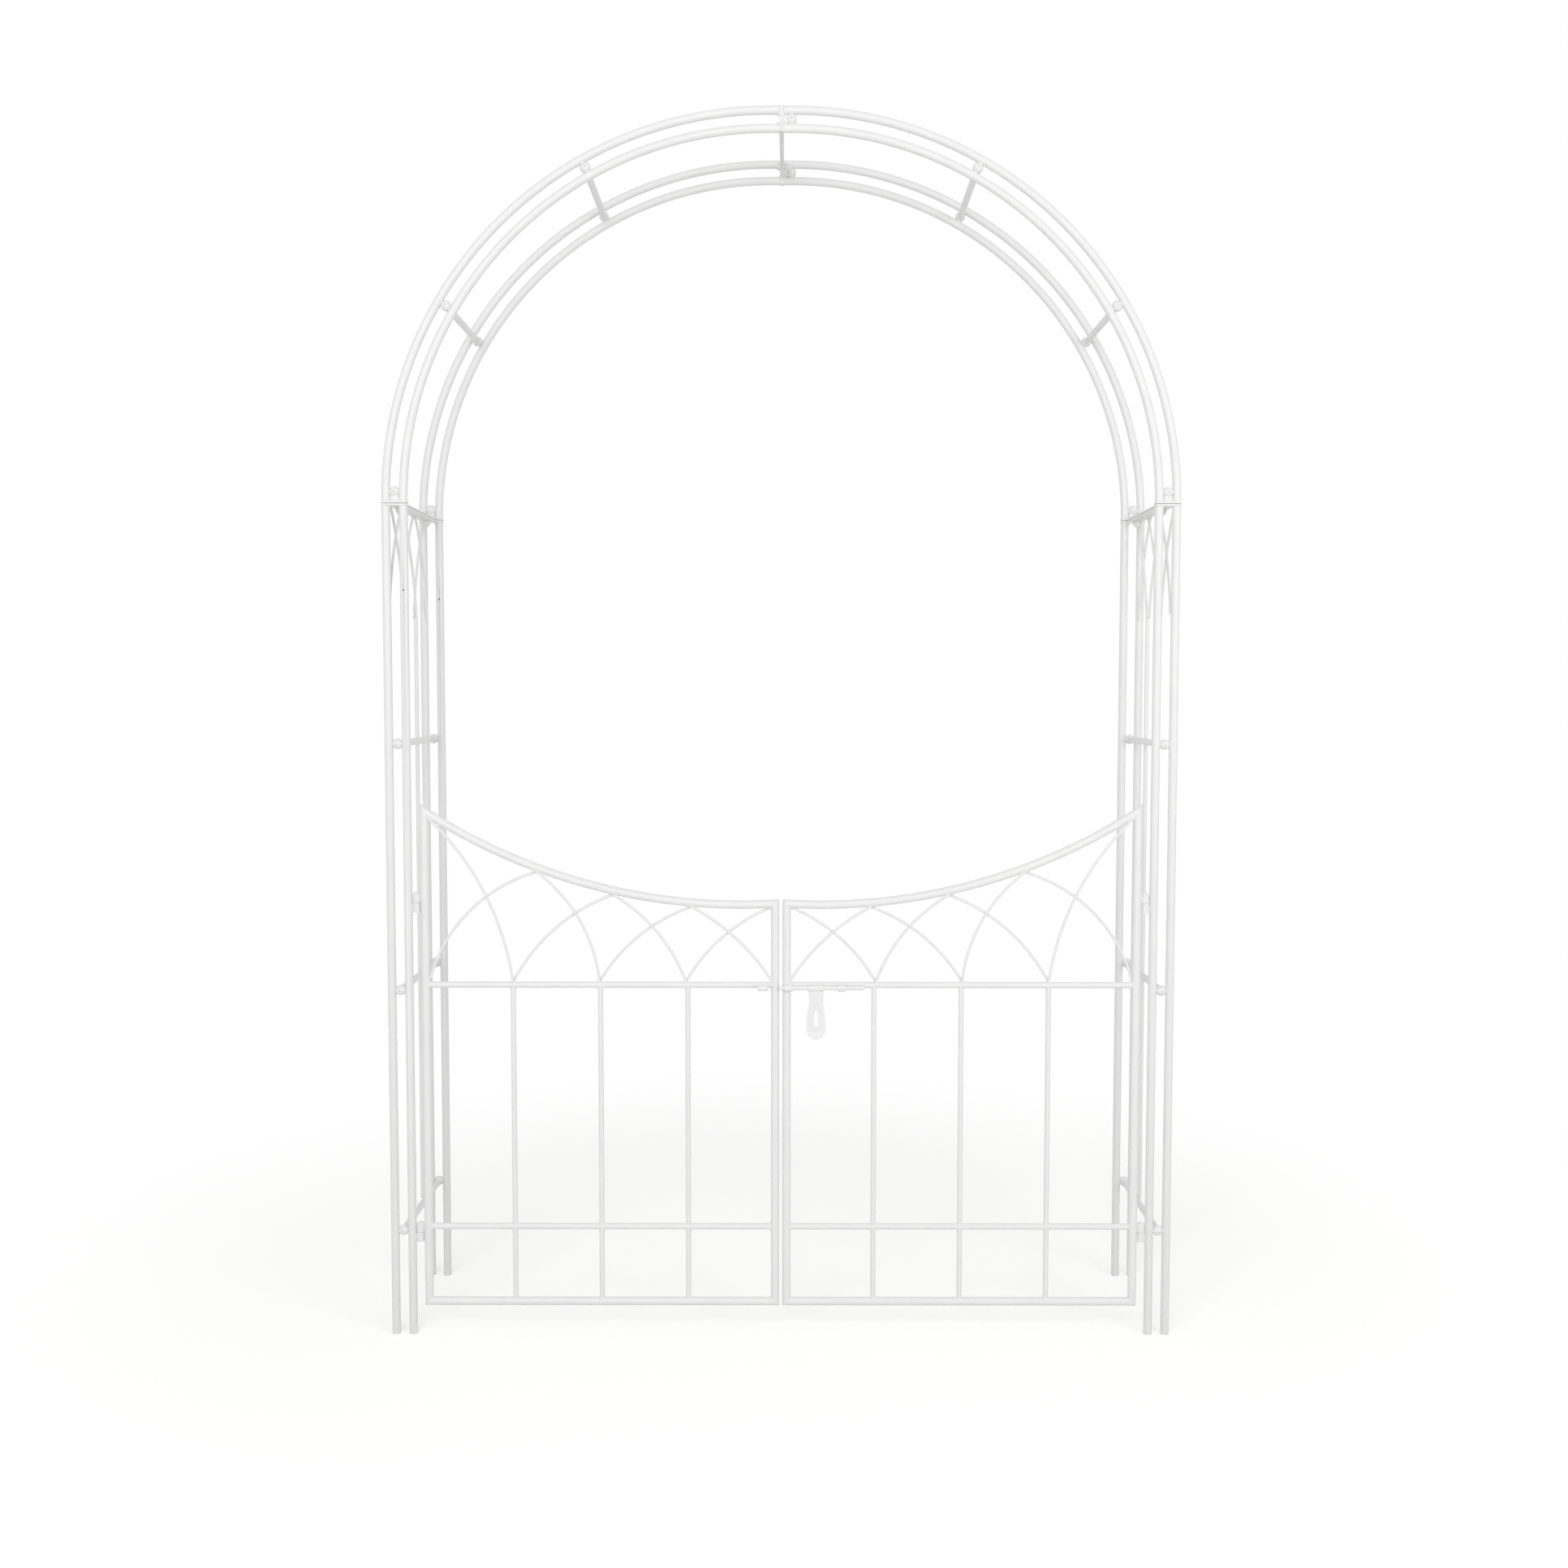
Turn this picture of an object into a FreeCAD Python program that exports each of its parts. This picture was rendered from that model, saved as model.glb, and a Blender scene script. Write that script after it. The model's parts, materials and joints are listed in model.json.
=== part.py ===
import FreeCAD, Part

import math
import os

import Sketcher
from FreeCAD import Placement, Rotation, Vector

# Garden arch with a two-leaf gate, in millimetres.
# z = 0 is the ground, x runs across the opening and the front faces -y.
# The arch is welded from twin tubes in a front and a rear plane. It comes
# apart into two legs and two quarter arches, which are bolted at plates.

DIMENSIONS = {
    # Frame tubes
    "tube_diameter": 16.0,
    "tube_wall": 1.2,
    "post_outer_x": 742.0,
    "post_inner_x": 709.0,
    "post_height": 1586.0,
    "plane_spacing": 314.0,
    "arch_centre_x": 24.0,
    "vent_diameter": 3.0,
    "vent_height": 1428.0,
    # Rungs between the planes, with a ball at each end
    "rung_diameter": 13.0,
    "ball_diameter": 20.0,
    "low_rung_height": 203.0,
    "middle_rung_height": 669.0,
    "high_rung_height": 1139.0,
    "low_arch_rung_angle": 31.0,
    "high_arch_rung_angle": 61.0,
    "springing_ball_rise": 18.0,
    "crown_ball_x": 18.5,
    # Sides of the legs
    "upright_diameter": 8.0,
    "side_foot_height": 1385.0,
    "side_crossing_height": 1519.6,
    "side_rod_diameter": 5.0,
    "side_rod_reach": 6.8,
    # Plates that join the quarters, and their bolts
    "plate_thickness": 4.0,
    "plate_strip_width": 28.0,
    "plate_lobe_depth": 18.0,
    "plate_fillet": 7.0,
    "plate_corner": 3.0,
    "bolt_spacing": 236.0,
    "bolt_diameter": 8.0,
    "bolt_hole_diameter": 9.0,
    "hexagon_width": 13.0,
    "bolt_head_height": 5.3,
    "nut_height": 6.5,
    "nut_dome_diameter": 12.6,
    "nut_depth": 9.5,
    # Gate leaves
    "hinge_stile_x": 677.5,
    "meeting_stile_x": 11.0,
    "bottom_rail_height": 63.5,
    "lower_rail_height": 210.5,
    "mid_rail_height": 679.6,
    "rail_diameter": 12.0,
    "bar_diameter": 10.0,
    "top_arc_centre_x": 76.5,
    "top_arc_centre_height": 1937.0,
    "top_arc_radius": 1103.5,
    "lattice_rod_diameter": 5.2,
    # Hinges
    "barrel_diameter": 13.5,
    "pin_diameter": 8.0,
    "running_clearance": 0.05,
    "barrel_gap": 0.3,
    "low_hinge_height": 199.2,
    "high_hinge_height": 836.5,
    "pintle_barrel_height": 18.0,
    "knuckle_height": 18.5,
    "weld_width": 4.0,
    # Latch
    "latch_standoff": 12.5,
    "latch_height": 675.5,
    "bolt_tip_x": -2.0,
    "bolt_end_x": 160.6,
    "guide_diameter": 13.6,
    "keeper_diameter": 11.0,
    "keeper_bore": 9.4,
    "hasp_x": 67.0,
    "hasp_thickness": 3.0,
    "hasp_width": 35.0,
    "hasp_waist": 27.0,
    "hasp_waist_radius": 180.0,
    "hasp_eye_width": 30.0,
    "hasp_eye_diameter": 12.0,
    "hasp_drop": 97.5,
    "hasp_lip_drop": 86.5,
    "hasp_lip_angle": 35.0,
    "hasp_slot_width": 6.0,
    "hasp_slot_top": 43.5,
    "hasp_slot_bottom": 75.0,
}

# Feet, tops and crossings of the gate's pointed arches, from the middle of
# the gate. The feet stand on the mid rail and the tops end on the top rail.
LATTICE_FEET = {"foot_0": 671.0, "foot_1": 511.0, "foot_2": 346.0, "foot_3": 181.0, "foot_4": 16.0}
LATTICE_TOPS = {"top_0": 668.0, "top_1": 464.0, "top_2": 319.0, "top_3": 170.0, "top_4": 22.0}
LATTICE_CROSSINGS_X = {"cross_1_x": 560.3, "cross_2_x": 390.8, "cross_3_x": 245.0, "cross_4_x": 98.9}
LATTICE_CROSSINGS_Z = {"cross_1_z": 849.0, "cross_2_z": 817.0, "cross_3_z": 792.3, "cross_4_z": 781.3}
GATE_ARCHES = ((0, 1), (1, 2), (2, 3), (3, 4))

# Lengths along x of the sleeves that hold the sliding bolt
NEAR_GUIDE = (7.0, 23.0)
FAR_GUIDE = (108.0, 122.5)
KEEPER = (-44.0, -24.0)
KEEPER_FOOT = (-40.0, -28.0)

SIDES = (("left", -1), ("right", 1))
TUBE_OVERRUN = 14.0
ROD_OVERRUN = 8.0
BLOCK = 60.0

# Bent bars, balls and domes repeat many times, so they have few flat sides.
TUBE_SIDES = 12
ROD_SIDES = 8
TURNED_SIDES = 12
POLE = 5

doc = FreeCAD.newDocument("garden_arch")
sheet = doc.addObject("Spreadsheet::Sheet", "Size")
nodes = []


def fill_sheet(tables):
    """Write each dimension to a row of the sheet, and give its cell an alias."""
    row = 0
    for table in tables:
        for alias, value in table.items():
            row += 1
            sheet.set(f"A{row}", alias)
            sheet.set(f"B{row}", str(value))
            sheet.setAlias(f"B{row}", alias)
    doc.recompute()


def size(alias):
    """Read a dimension from the sheet."""
    return float(getattr(sheet, alias))


def add(kind, name, placement=None, **expressions):
    """Add an object whose properties follow expressions on the sheet."""
    item = doc.addObject(kind, name)
    for prop, expression in expressions.items():
        item.setExpression(prop, expression)
    if placement is not None:
        item.Placement = placement
    return item


def keep(node, item):
    """Make an object one of the part's named nodes."""
    item.Label = node
    nodes.append(item)
    return item


def group(node, items):
    """Hold separate pieces of one kind in one node."""
    compound = doc.addObject("Part::Compound", f"{node}_group")
    compound.Links = items
    return keep(node, compound)


def cut(base, *tools):
    """Cut a piece by each of its neighbours in turn."""
    for tool in tools:
        result = doc.addObject("Part::Cut", f"{base.Name}_cut")
        result.Base = base
        result.Tool = tool
        base = result
    return base


def fuse(name, items):
    """Join what is one piece of metal."""
    result = doc.addObject("Part::MultiFuse", name)
    result.Shapes = items
    return result


def common(name, first, second):
    """Keep what two objects share."""
    result = doc.addObject("Part::Common", name)
    result.Base = first
    result.Tool = second
    return result


def along(start, direction):
    """Place an object so that its own z axis runs from start along direction."""
    return Placement(start, Rotation(Vector(0, 0, 1), direction))


def rod(name, start, end, diameter):
    """A round bar between two points, with its diameter from the sheet."""
    bar = add("Part::Cylinder", name, along(start, end - start), Radius=f"Size.{diameter} / 2")
    bar.Height = (end - start).Length
    return bar


def bent_rod(name, start, middle, end, diameter, sides, overrun=0.0):
    """A bar of few sides along the arc through three points, longer by the overrun at each end."""
    arc = Part.Arc(start, middle, end).toShape()
    circle = arc.Curve
    extra = overrun / circle.Radius
    turn = Rotation(circle.Axis, -math.degrees(extra))
    outward = turn.multVec((start - circle.Center).normalize())
    frame = Rotation(outward, circle.Axis, outward.cross(circle.Axis), "XYZ")
    place = Placement(circle.Center + outward * circle.Radius, frame * half_side(sides))
    section = add("Part::RegularPolygon", f"{name}_section", place, Circumradius=flat_sided(diameter, sides))
    section.Polygon = sides
    bar = doc.addObject("Part::Revolution", name)
    bar.Source = section
    bar.Base = circle.Center
    bar.Axis = circle.Axis
    bar.Angle = math.degrees(arc.LastParameter - arc.FirstParameter + 2 * extra)
    bar.Solid = True
    return bar


def half_side(sides):
    """The turn that puts a flat of a regular polygon where its first corner was."""
    return Rotation(Vector(0, 0, 1), 180 / sides)


def flat_sided(diameter, sides):
    """Expression for the corner radius of a polygon that is as wide over its flats as a size."""
    return f"Size.{diameter} / 2 / cos(180 deg / {sides})"


def ball_rings(diameter, first, last, bands):
    """Rings of a ball between two angles from its pole, each a height and a radius."""
    rings = []
    for i in range(bands + 1):
        angle = first + (last - first) * i / bands
        height = size(diameter) / 2 * math.cos(math.radians(angle))
        rings.append((height, f"Size.{diameter} / 2 * sin({angle} deg)"))
    return rings


def turned(name, placement, rings):
    """A turned form of few sides, lofted through its rings."""
    sections = []
    for height, radius in rings:
        spot = placement * Placement(Vector(0, 0, height), Rotation())
        section = add("Part::RegularPolygon", f"{name}_ring", spot, Circumradius=radius)
        section.Polygon = TURNED_SIDES
        sections.append(section)
    form = doc.addObject("Part::Loft", name)
    form.Sections = sections
    form.Solid = True
    form.Ruled = True
    return form


def block(name, low, high):
    """A box between two corners."""
    item = doc.addObject("Part::Box", name)
    item.Length = high.x - low.x
    item.Width = high.y - low.y
    item.Height = high.z - low.z
    item.Placement.Base = low
    return item


def mitre_block(name, corner, normal):
    """A block with one face on a mitre, on the side that the normal points to."""
    item = doc.addObject("Part::Box", name)
    item.Length = BLOCK
    item.Width = BLOCK
    item.Height = BLOCK
    item.Placement = along(corner, normal) * Placement(Vector(-BLOCK / 2, -BLOCK / 2, 0), Rotation())
    return item


fill_sheet((DIMENSIONS, LATTICE_FEET, LATTICE_TOPS, LATTICE_CROSSINGS_X, LATTICE_CROSSINGS_Z))

tube_radius = size("tube_diameter") / 2
rung_radius = size("rung_diameter") / 2
ball_radius = size("ball_diameter") / 2
side_rod_radius = size("side_rod_diameter") / 2
gap_x = (size("post_outer_x") + size("post_inner_x")) / 2
upright_x = gap_x + rung_radius + size("upright_diameter") / 2
side_plane_x = upright_x + 1
springing = size("post_height") + 2 * size("plate_thickness")
outer_radius = size("post_outer_x") - size("arch_centre_x")
inner_radius = size("post_inner_x") - size("arch_centre_x")
mean_radius = (outer_radius + inner_radius) / 2
crown = springing + mean_radius
ball_seat = math.sqrt(ball_radius**2 - rung_radius**2)
hinge_x = (size("hinge_stile_x") + size("post_inner_x")) / 2
lobe_half = (size("post_outer_x") - size("post_inner_x") + size("tube_diameter")) / 2

# The planes stand a little behind the middle, so that the latch in front and
# the balls behind are equally far from y = 0.
lip_angle = math.radians(size("hasp_lip_angle"))
lip_drop = size("hasp_drop") - size("hasp_lip_drop")
lip_reach = lip_drop * math.tan(lip_angle) + size("hasp_thickness") / 2 / math.cos(lip_angle)
ball_reach = ball_radius * math.cos(math.radians(POLE))
middle_y = (size("latch_standoff") + lip_reach - ball_reach) / 2
front_y = middle_y - size("plane_spacing") / 2
rear_y = middle_y + size("plane_spacing") / 2
PLANES = (("front", front_y, 1), ("rear", rear_y, -1))


def make_post(node, x, y, vented):
    """An open tube that stands on the ground and ends under the head plate."""
    foot = Placement(Vector(x, y, 0), Rotation())
    height = "Size.post_height"
    solid = add("Part::Cylinder", f"{node}_outside", foot, Radius="Size.tube_diameter / 2", Height=height)
    bore = add("Part::Cylinder", f"{node}_bore", foot, Radius="Size.tube_diameter / 2 - Size.tube_wall",
               Height=height)
    tube = cut(solid, bore)
    if vented:
        face = Vector(x, y - tube_radius - 1, size("vent_height"))
        vent = rod(f"{node}_vent", face, Vector(x, y, size("vent_height")), "vent_diameter")
        tube = cut(tube, vent)
    keep(node, tube)
    return solid


def make_ball(name, centre, inward, neighbours):
    """A ball between twin tubes. One with a rung has a flat seat for its end."""
    seat = math.degrees(math.asin(rung_radius / ball_radius))
    rings = ball_rings("ball_diameter", seat if inward else POLE, 180 - POLE, 5)
    place = along(centre, inward or Vector(0, 1, 0)) * Placement(Vector(), half_side(TURNED_SIDES))
    ball = turned(name, place, rings)
    return cut(ball, *neighbours)


def make_rung(name, x, z):
    """A rung from the seat of the front ball to the seat of the rear one."""
    return rod(name, Vector(x, front_y + ball_seat, z), Vector(x, rear_y - ball_seat, z), "rung_diameter")


def make_leg(side, sign):
    """Four posts with three rungs, two uprights and the crossed arcs above them."""
    twins = {}
    for plane, y, _ in PLANES:
        for place, x in (("outer", size("post_outer_x")), ("inner", size("post_inner_x"))):
            vented = side == "left" and place == "inner"
            twins[plane, place] = make_post(f"{plane}_{side}_{place}_post", sign * x, y, vented)

    rungs = []
    balls = []
    for level in ("low", "middle", "high"):
        z = size(f"{level}_rung_height")
        rungs.append(make_rung(f"{side}_{level}_rung", sign * gap_x, z))
        for plane, y, inward in PLANES:
            pair = (twins[plane, "outer"], twins[plane, "inner"])
            centre = Vector(sign * gap_x, y, z)
            balls.append(make_ball(f"{side}_{level}_{plane}_ball", centre, Vector(0, inward, 0), pair))
    group(f"{side}_leg_rungs", rungs)
    group(f"{side}_leg_balls", balls)

    third = size("plane_spacing") / 6
    foot = size("low_rung_height") - size("upright_diameter") / 2
    uprights = []
    for y in (middle_y - third, middle_y + third):
        start = Vector(sign * upright_x, y, foot)
        end = Vector(sign * upright_x, y, size("side_foot_height"))
        uprights.append(rod(f"{side}_upright", start, end, "upright_diameter"))
    group(f"{side}_uprights", uprights)
    make_side_lattice(side, sign, twins)


def make_side_lattice(side, sign, twins):
    """Pointed arches in two layers, crossed over three bays between the outer posts."""
    third = size("plane_spacing") / 6
    reach = size("side_rod_reach")
    stations = (front_y + reach, middle_y - third, middle_y + third, rear_y - reach)
    low = size("side_foot_height")
    band = block(f"{side}_band", Vector(sign * side_plane_x - BLOCK, front_y, low),
                 Vector(sign * side_plane_x + BLOCK, rear_y, size("post_height")))
    rods = []
    for near, far in zip(stations, stations[1:]):
        for start_y, end_y, layer in ((near, far, -side_rod_radius), (far, near, side_rod_radius)):
            x = sign * side_plane_x + layer
            points = (
                Vector(x, start_y, low),
                Vector(x, (near + far) / 2, size("side_crossing_height")),
                Vector(x, end_y, size("post_height")),
            )
            bar = bent_rod(f"{side}_arc", *points, "side_rod_diameter", ROD_SIDES, ROD_OVERRUN)
            bar = common(f"{side}_arc_end", bar, band)
            if near == stations[0]:
                bar = cut(bar, twins["front", "outer"])
            if far == stations[-1]:
                bar = cut(bar, twins["rear", "outer"])
            rods.append(bar)
    group(f"{side}_side_lattice", rods)


def outline_corners():
    """Corners of a plate's outline, a strip between two wider lobes, each as (x, y) of
    (place, expression)."""
    strip_x = (size("plate_strip_width") / 2, "Size.plate_strip_width / 2")
    lobe_x = (lobe_half, "(Size.post_outer_x - Size.post_inner_x + Size.tube_diameter) / 2")
    neck_y = ((size("plane_spacing") - size("plate_lobe_depth")) / 2,
              "(Size.plane_spacing - Size.plate_lobe_depth) / 2")
    end_y = ((size("plane_spacing") + size("plate_lobe_depth")) / 2,
             "(Size.plane_spacing + Size.plate_lobe_depth) / 2")
    quarter = [(strip_x, neck_y), (lobe_x, neck_y), (lobe_x, end_y)]
    corners = []
    for way_x, way_y, points in ((1, 1, quarter), (-1, 1, quarter[::-1]), (-1, -1, quarter), (1, -1, quarter[::-1])):
        for x, y in points:
            corners.append(((way_x * x[0], f"{way_x} * {x[1]}"), (way_y * y[0], f"{way_y} * {y[1]}")))
    return corners


def make_plate(node, placement):
    """A joining plate with two bolt holes, its strip filleted into the lobes."""
    body = doc.addObject("PartDesign::Body", f"{node}_body")
    sketch = body.newObject("Sketcher::SketchObject", f"{node}_outline")
    plane = [f for f in body.Origin.OriginFeatures if f.Role == "XY_Plane"][0]
    sketch.AttachmentSupport = [(plane, "")]
    sketch.MapMode = "FlatFace"

    corners = outline_corners()
    spots = [Vector(x[0], y[0], 0) for x, y in corners]
    for i, spot in enumerate(spots):
        sketch.addGeometry(Part.LineSegment(spot, spots[(i + 1) % len(spots)]), False)
    for i in range(len(spots)):
        sketch.addConstraint(Sketcher.Constraint("Coincident", i, 2, (i + 1) % len(spots), 1))
    for i, corner in enumerate(corners):
        for kind, (value, expression) in zip(("DistanceX", "DistanceY"), corner):
            index = sketch.addConstraint(Sketcher.Constraint(kind, -1, 1, i, 1, value))
            sketch.setExpression(f"Constraints[{index}]", expression)
    for side_y in (-1, 1):
        half = size("bolt_spacing") / 2
        circle = Part.Circle(Vector(0, side_y * half, 0), Vector(0, 0, 1), size("bolt_hole_diameter") / 2)
        hole = sketch.addGeometry(circle, False)
        sketch.addConstraint(Sketcher.Constraint("PointOnObject", hole, 3, -2))
        index = sketch.addConstraint(Sketcher.Constraint("DistanceY", -1, 1, hole, 3, side_y * half))
        sketch.setExpression(f"Constraints[{index}]", f"{side_y} * Size.bolt_spacing / 2")
        index = sketch.addConstraint(Sketcher.Constraint("Diameter", hole, size("bolt_hole_diameter")))
        sketch.setExpression(f"Constraints[{index}]", "Size.bolt_hole_diameter")

    pad = body.newObject("PartDesign::Pad", f"{node}_pad")
    pad.Profile = sketch
    pad.setExpression("Length", "Size.plate_thickness")
    doc.recompute()
    necks = edges_at(pad.Shape, size("plate_strip_width") / 2)
    inner = body.newObject("PartDesign::Fillet", f"{node}_necks")
    inner.Base = (pad, necks)
    inner.setExpression("Radius", "Size.plate_fillet")
    doc.recompute()
    outer = body.newObject("PartDesign::Fillet", f"{node}_corners")
    outer.Base = (inner, edges_at(inner.Shape, lobe_half))
    outer.setExpression("Radius", "Size.plate_corner")
    body.Tip = outer
    body.Placement = placement
    return keep(node, body)


def edges_at(shape, distance):
    """Names of a plate's upright edges at a distance from its long axis."""
    names = []
    for number, edge in enumerate(shape.Edges, 1):
        ends = [v.Point for v in edge.Vertexes]
        upright = len(ends) == 2 and abs(ends[0].z - ends[1].z) > size("plate_thickness") / 2
        if upright and abs(abs(ends[0].x) - distance) < 1e-4:
            names.append(f"Edge{number}")
    return names


def make_bolt(start, direction, grip):
    """A hexagon bolt: its head stands on start and its shank runs through the plates."""
    head = add("Part::Prism", "bolt_head", along(start, direction * -1),
               Circumradius="Size.hexagon_width / sqrt(3)", Height="Size.bolt_head_height")
    end = start + direction * (grip + size("nut_depth") - 1)
    shank = rod("bolt_shank", start, end, "bolt_diameter")
    return fuse("joint_bolt", [head, shank])


def make_dome_nut(start, direction):
    """A closed nut with a dome, from the plate outwards."""
    seat = along(start, direction)
    hexagon = add("Part::Prism", "nut_hexagon", seat, Circumradius="Size.hexagon_width / sqrt(3)",
                  Height="Size.nut_height")
    dome = turned("nut_dome", along(start + direction * size("nut_height"), direction),
                  ball_rings("nut_dome_diameter", POLE, 90, 3))
    bore = add("Part::Cylinder", "nut_bore", seat, Radius="Size.bolt_diameter / 2", Height="Size.nut_depth")
    return cut(fuse("dome_nut", [hexagon, dome]), bore)


def make_arch_tube(node, sign, y, radius):
    """A quarter circle from the springing plate, with a short straight end at the crown."""
    centre_x = size("arch_centre_x")
    half_turn = math.cos(math.radians(45))
    start = Vector(sign * (centre_x + radius), y, springing)
    middle = Vector(sign * (centre_x + radius * half_turn), y, springing + radius * half_turn)
    top = Vector(sign * centre_x, y, springing + radius)
    quarter = bent_rod(f"{node}_quarter", start, middle, top, "tube_diameter", TUBE_SIDES)
    frame = Rotation(Vector(0, 0, 1), Vector(0, 1, 0), Vector(-sign, 0, 0), "ZYX")
    stub = add("Part::Prism", f"{node}_stub", Placement(top, frame * half_side(TUBE_SIDES)),
               Circumradius=flat_sided("tube_diameter", TUBE_SIDES),
               Height="Size.arch_centre_x - Size.plate_thickness")
    stub.Polygon = TUBE_SIDES
    return keep(node, fuse(f"{node}_tube", [quarter, stub]))


def make_arch():
    """Both quarter arches with their rungs and balls."""
    rungs = []
    balls = []
    centre_x = size("arch_centre_x")
    for side, sign in SIDES:
        for plane, y, inward in PLANES:
            pair = [
                make_arch_tube(f"{plane}_{side}_outer_arch", sign, y, outer_radius),
                make_arch_tube(f"{plane}_{side}_inner_arch", sign, y, inner_radius),
            ]
            for level in ("low", "high"):
                angle = math.radians(size(f"{level}_arch_rung_angle"))
                x = sign * (centre_x + mean_radius * math.cos(angle))
                centre = Vector(x, y, springing + mean_radius * math.sin(angle))
                balls.append(make_ball("arch_ball", centre, Vector(0, inward, 0), pair))
            rise = size("springing_ball_rise")
            centre = Vector(sign * (centre_x + math.sqrt(mean_radius**2 - rise**2)), y, springing + rise)
            balls.append(make_ball("springing_ball", centre, None, pair))
            if side == "right":
                centre = Vector(size("crown_ball_x"), y, crown)
                balls.append(make_ball("crown_ball", centre, None, pair))
        for level in ("low", "high"):
            angle = math.radians(size(f"{level}_arch_rung_angle"))
            x = sign * (centre_x + mean_radius * math.cos(angle))
            rungs.append(make_rung("arch_rung", x, springing + mean_radius * math.sin(angle)))
    group("arch_rungs", rungs)
    group("arch_balls", balls)


def make_joints():
    """The plates at the springing and the crown, with two bolts through each pair."""
    thick = size("plate_thickness")
    lying = Rotation()
    for side, sign in SIDES:
        make_plate(f"{side}_head_plate", Placement(Vector(sign * gap_x, middle_y, size("post_height")), lying))
        place = Vector(sign * gap_x, middle_y, size("post_height") + thick)
        make_plate(f"{side}_springing_plate", Placement(place, lying))
    standing = Rotation(Vector(0, 1, 0), 90)
    make_plate("left_crown_plate", Placement(Vector(-thick, middle_y, crown), standing))
    make_plate("right_crown_plate", Placement(Vector(0, middle_y, crown), standing))

    bolts = []
    nuts = []
    down = Vector(0, 0, -1)
    right = Vector(1, 0, 0)
    for y in (middle_y - size("bolt_spacing") / 2, middle_y + size("bolt_spacing") / 2):
        for _, sign in SIDES:
            bolts.append(make_bolt(Vector(sign * gap_x, y, springing), down, 2 * thick))
            nuts.append(make_dome_nut(Vector(sign * gap_x, y, size("post_height")), down))
        bolts.append(make_bolt(Vector(-thick, y, crown), right, 2 * thick))
        nuts.append(make_dome_nut(Vector(thick, y, crown), right))
    group("joint_bolts", bolts)
    group("dome_nuts", nuts)


def top_rail_height(x):
    """Height of the top rail's axis at a distance from the middle of the gate."""
    run = x - size("top_arc_centre_x")
    return size("top_arc_centre_height") - math.sqrt(size("top_arc_radius") ** 2 - run**2)


def make_leaf_frame(side, sign):
    """Stiles and curved rails of a leaf, with all four corners mitred."""
    stile_x = size("hinge_stile_x")
    meeting_x = size("meeting_stile_x")
    bottom = size("bottom_rail_height")
    corners = {}
    tilt = {}
    for place, x in (("hinge", stile_x), ("meeting", meeting_x)):
        corners[place, "top"] = Vector(sign * x, front_y, top_rail_height(x))
        corners[place, "bottom"] = Vector(sign * x, front_y, bottom)
        slope = (x - size("top_arc_centre_x")) / (size("top_arc_centre_height") - top_rail_height(x))
        tilt[place] = Vector(sign, 0, slope).normalize()

    inward = {"hinge": -1, "meeting": 1}
    pieces = {}
    up = Vector(0, 0, 1)
    for place in ("hinge", "meeting"):
        low = corners[place, "bottom"] - up * TUBE_OVERRUN
        high = corners[place, "top"] + up * TUBE_OVERRUN
        stile = rod(f"{side}_{place}_blank", low, high, "tube_diameter")
        rail_way = tilt[place] * inward[place]
        for end, stile_way in (("top", up * -1), ("bottom", up)):
            way = rail_way if end == "top" else Vector(sign * inward[place], 0, 0)
            normal = (stile_way - way).normalize()
            corner = corners[place, end]
            stile = cut(stile, mitre_block(f"{side}_mitre", corner, normal * -1))
            pieces[place, end] = mitre_block(f"{side}_mitre", corner, normal)
        pieces[place] = keep(f"{side}_{place}_stile", stile)

    middle_x = (stile_x + meeting_x) / 2
    middle = Vector(sign * middle_x, front_y, top_rail_height(middle_x))
    ends = (corners["hinge", "top"], middle, corners["meeting", "top"])
    top = bent_rod(f"{side}_top_blank", *ends, "tube_diameter", TUBE_SIDES, TUBE_OVERRUN)
    top = cut(top, pieces["hinge", "top"], pieces["meeting", "top"])
    pieces["top"] = keep(f"{side}_top_rail", top)

    start = corners["hinge", "bottom"] + Vector(sign * TUBE_OVERRUN, 0, 0)
    end = corners["meeting", "bottom"] - Vector(sign * TUBE_OVERRUN, 0, 0)
    low_rail = rod(f"{side}_bottom_blank", start, end, "tube_diameter")
    low_rail = cut(low_rail, pieces["hinge", "bottom"], pieces["meeting", "bottom"])
    pieces["bottom"] = keep(f"{side}_bottom_rail", low_rail)
    return pieces


def make_leaf(side, sign):
    """A gate leaf: frame, mid and lower rails, three bars and the pointed lattice."""
    pieces = make_leaf_frame(side, sign)
    stile_x = size("hinge_stile_x")
    meeting_x = size("meeting_stile_x")

    def cross_rail(name, z):
        start = Vector(sign * stile_x, front_y, z)
        end = Vector(sign * meeting_x, front_y, z)
        return cut(rod(name, start, end, "rail_diameter"), pieces["hinge"], pieces["meeting"])

    mid = keep(f"{side}_mid_rail", cross_rail(f"{side}_mid_blank", size("mid_rail_height")))
    lower = cross_rail(f"{side}_lower_blank", size("lower_rail_height"))
    bars = []
    pitch = (stile_x - meeting_x) / 4
    for i in (1, 2, 3):
        x = sign * (stile_x - i * pitch)
        start = Vector(x, front_y, size("bottom_rail_height"))
        end = Vector(x, front_y, size("mid_rail_height"))
        bar = cut(rod(f"{side}_bar", start, end, "bar_diameter"), pieces["bottom"], mid)
        lower = cut(lower, bar)
        bars.append(bar)
    keep(f"{side}_lower_rail", lower)
    group(f"{side}_bars", bars)
    make_gate_lattice(side, sign, pieces, mid)
    return pieces, mid


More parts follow.
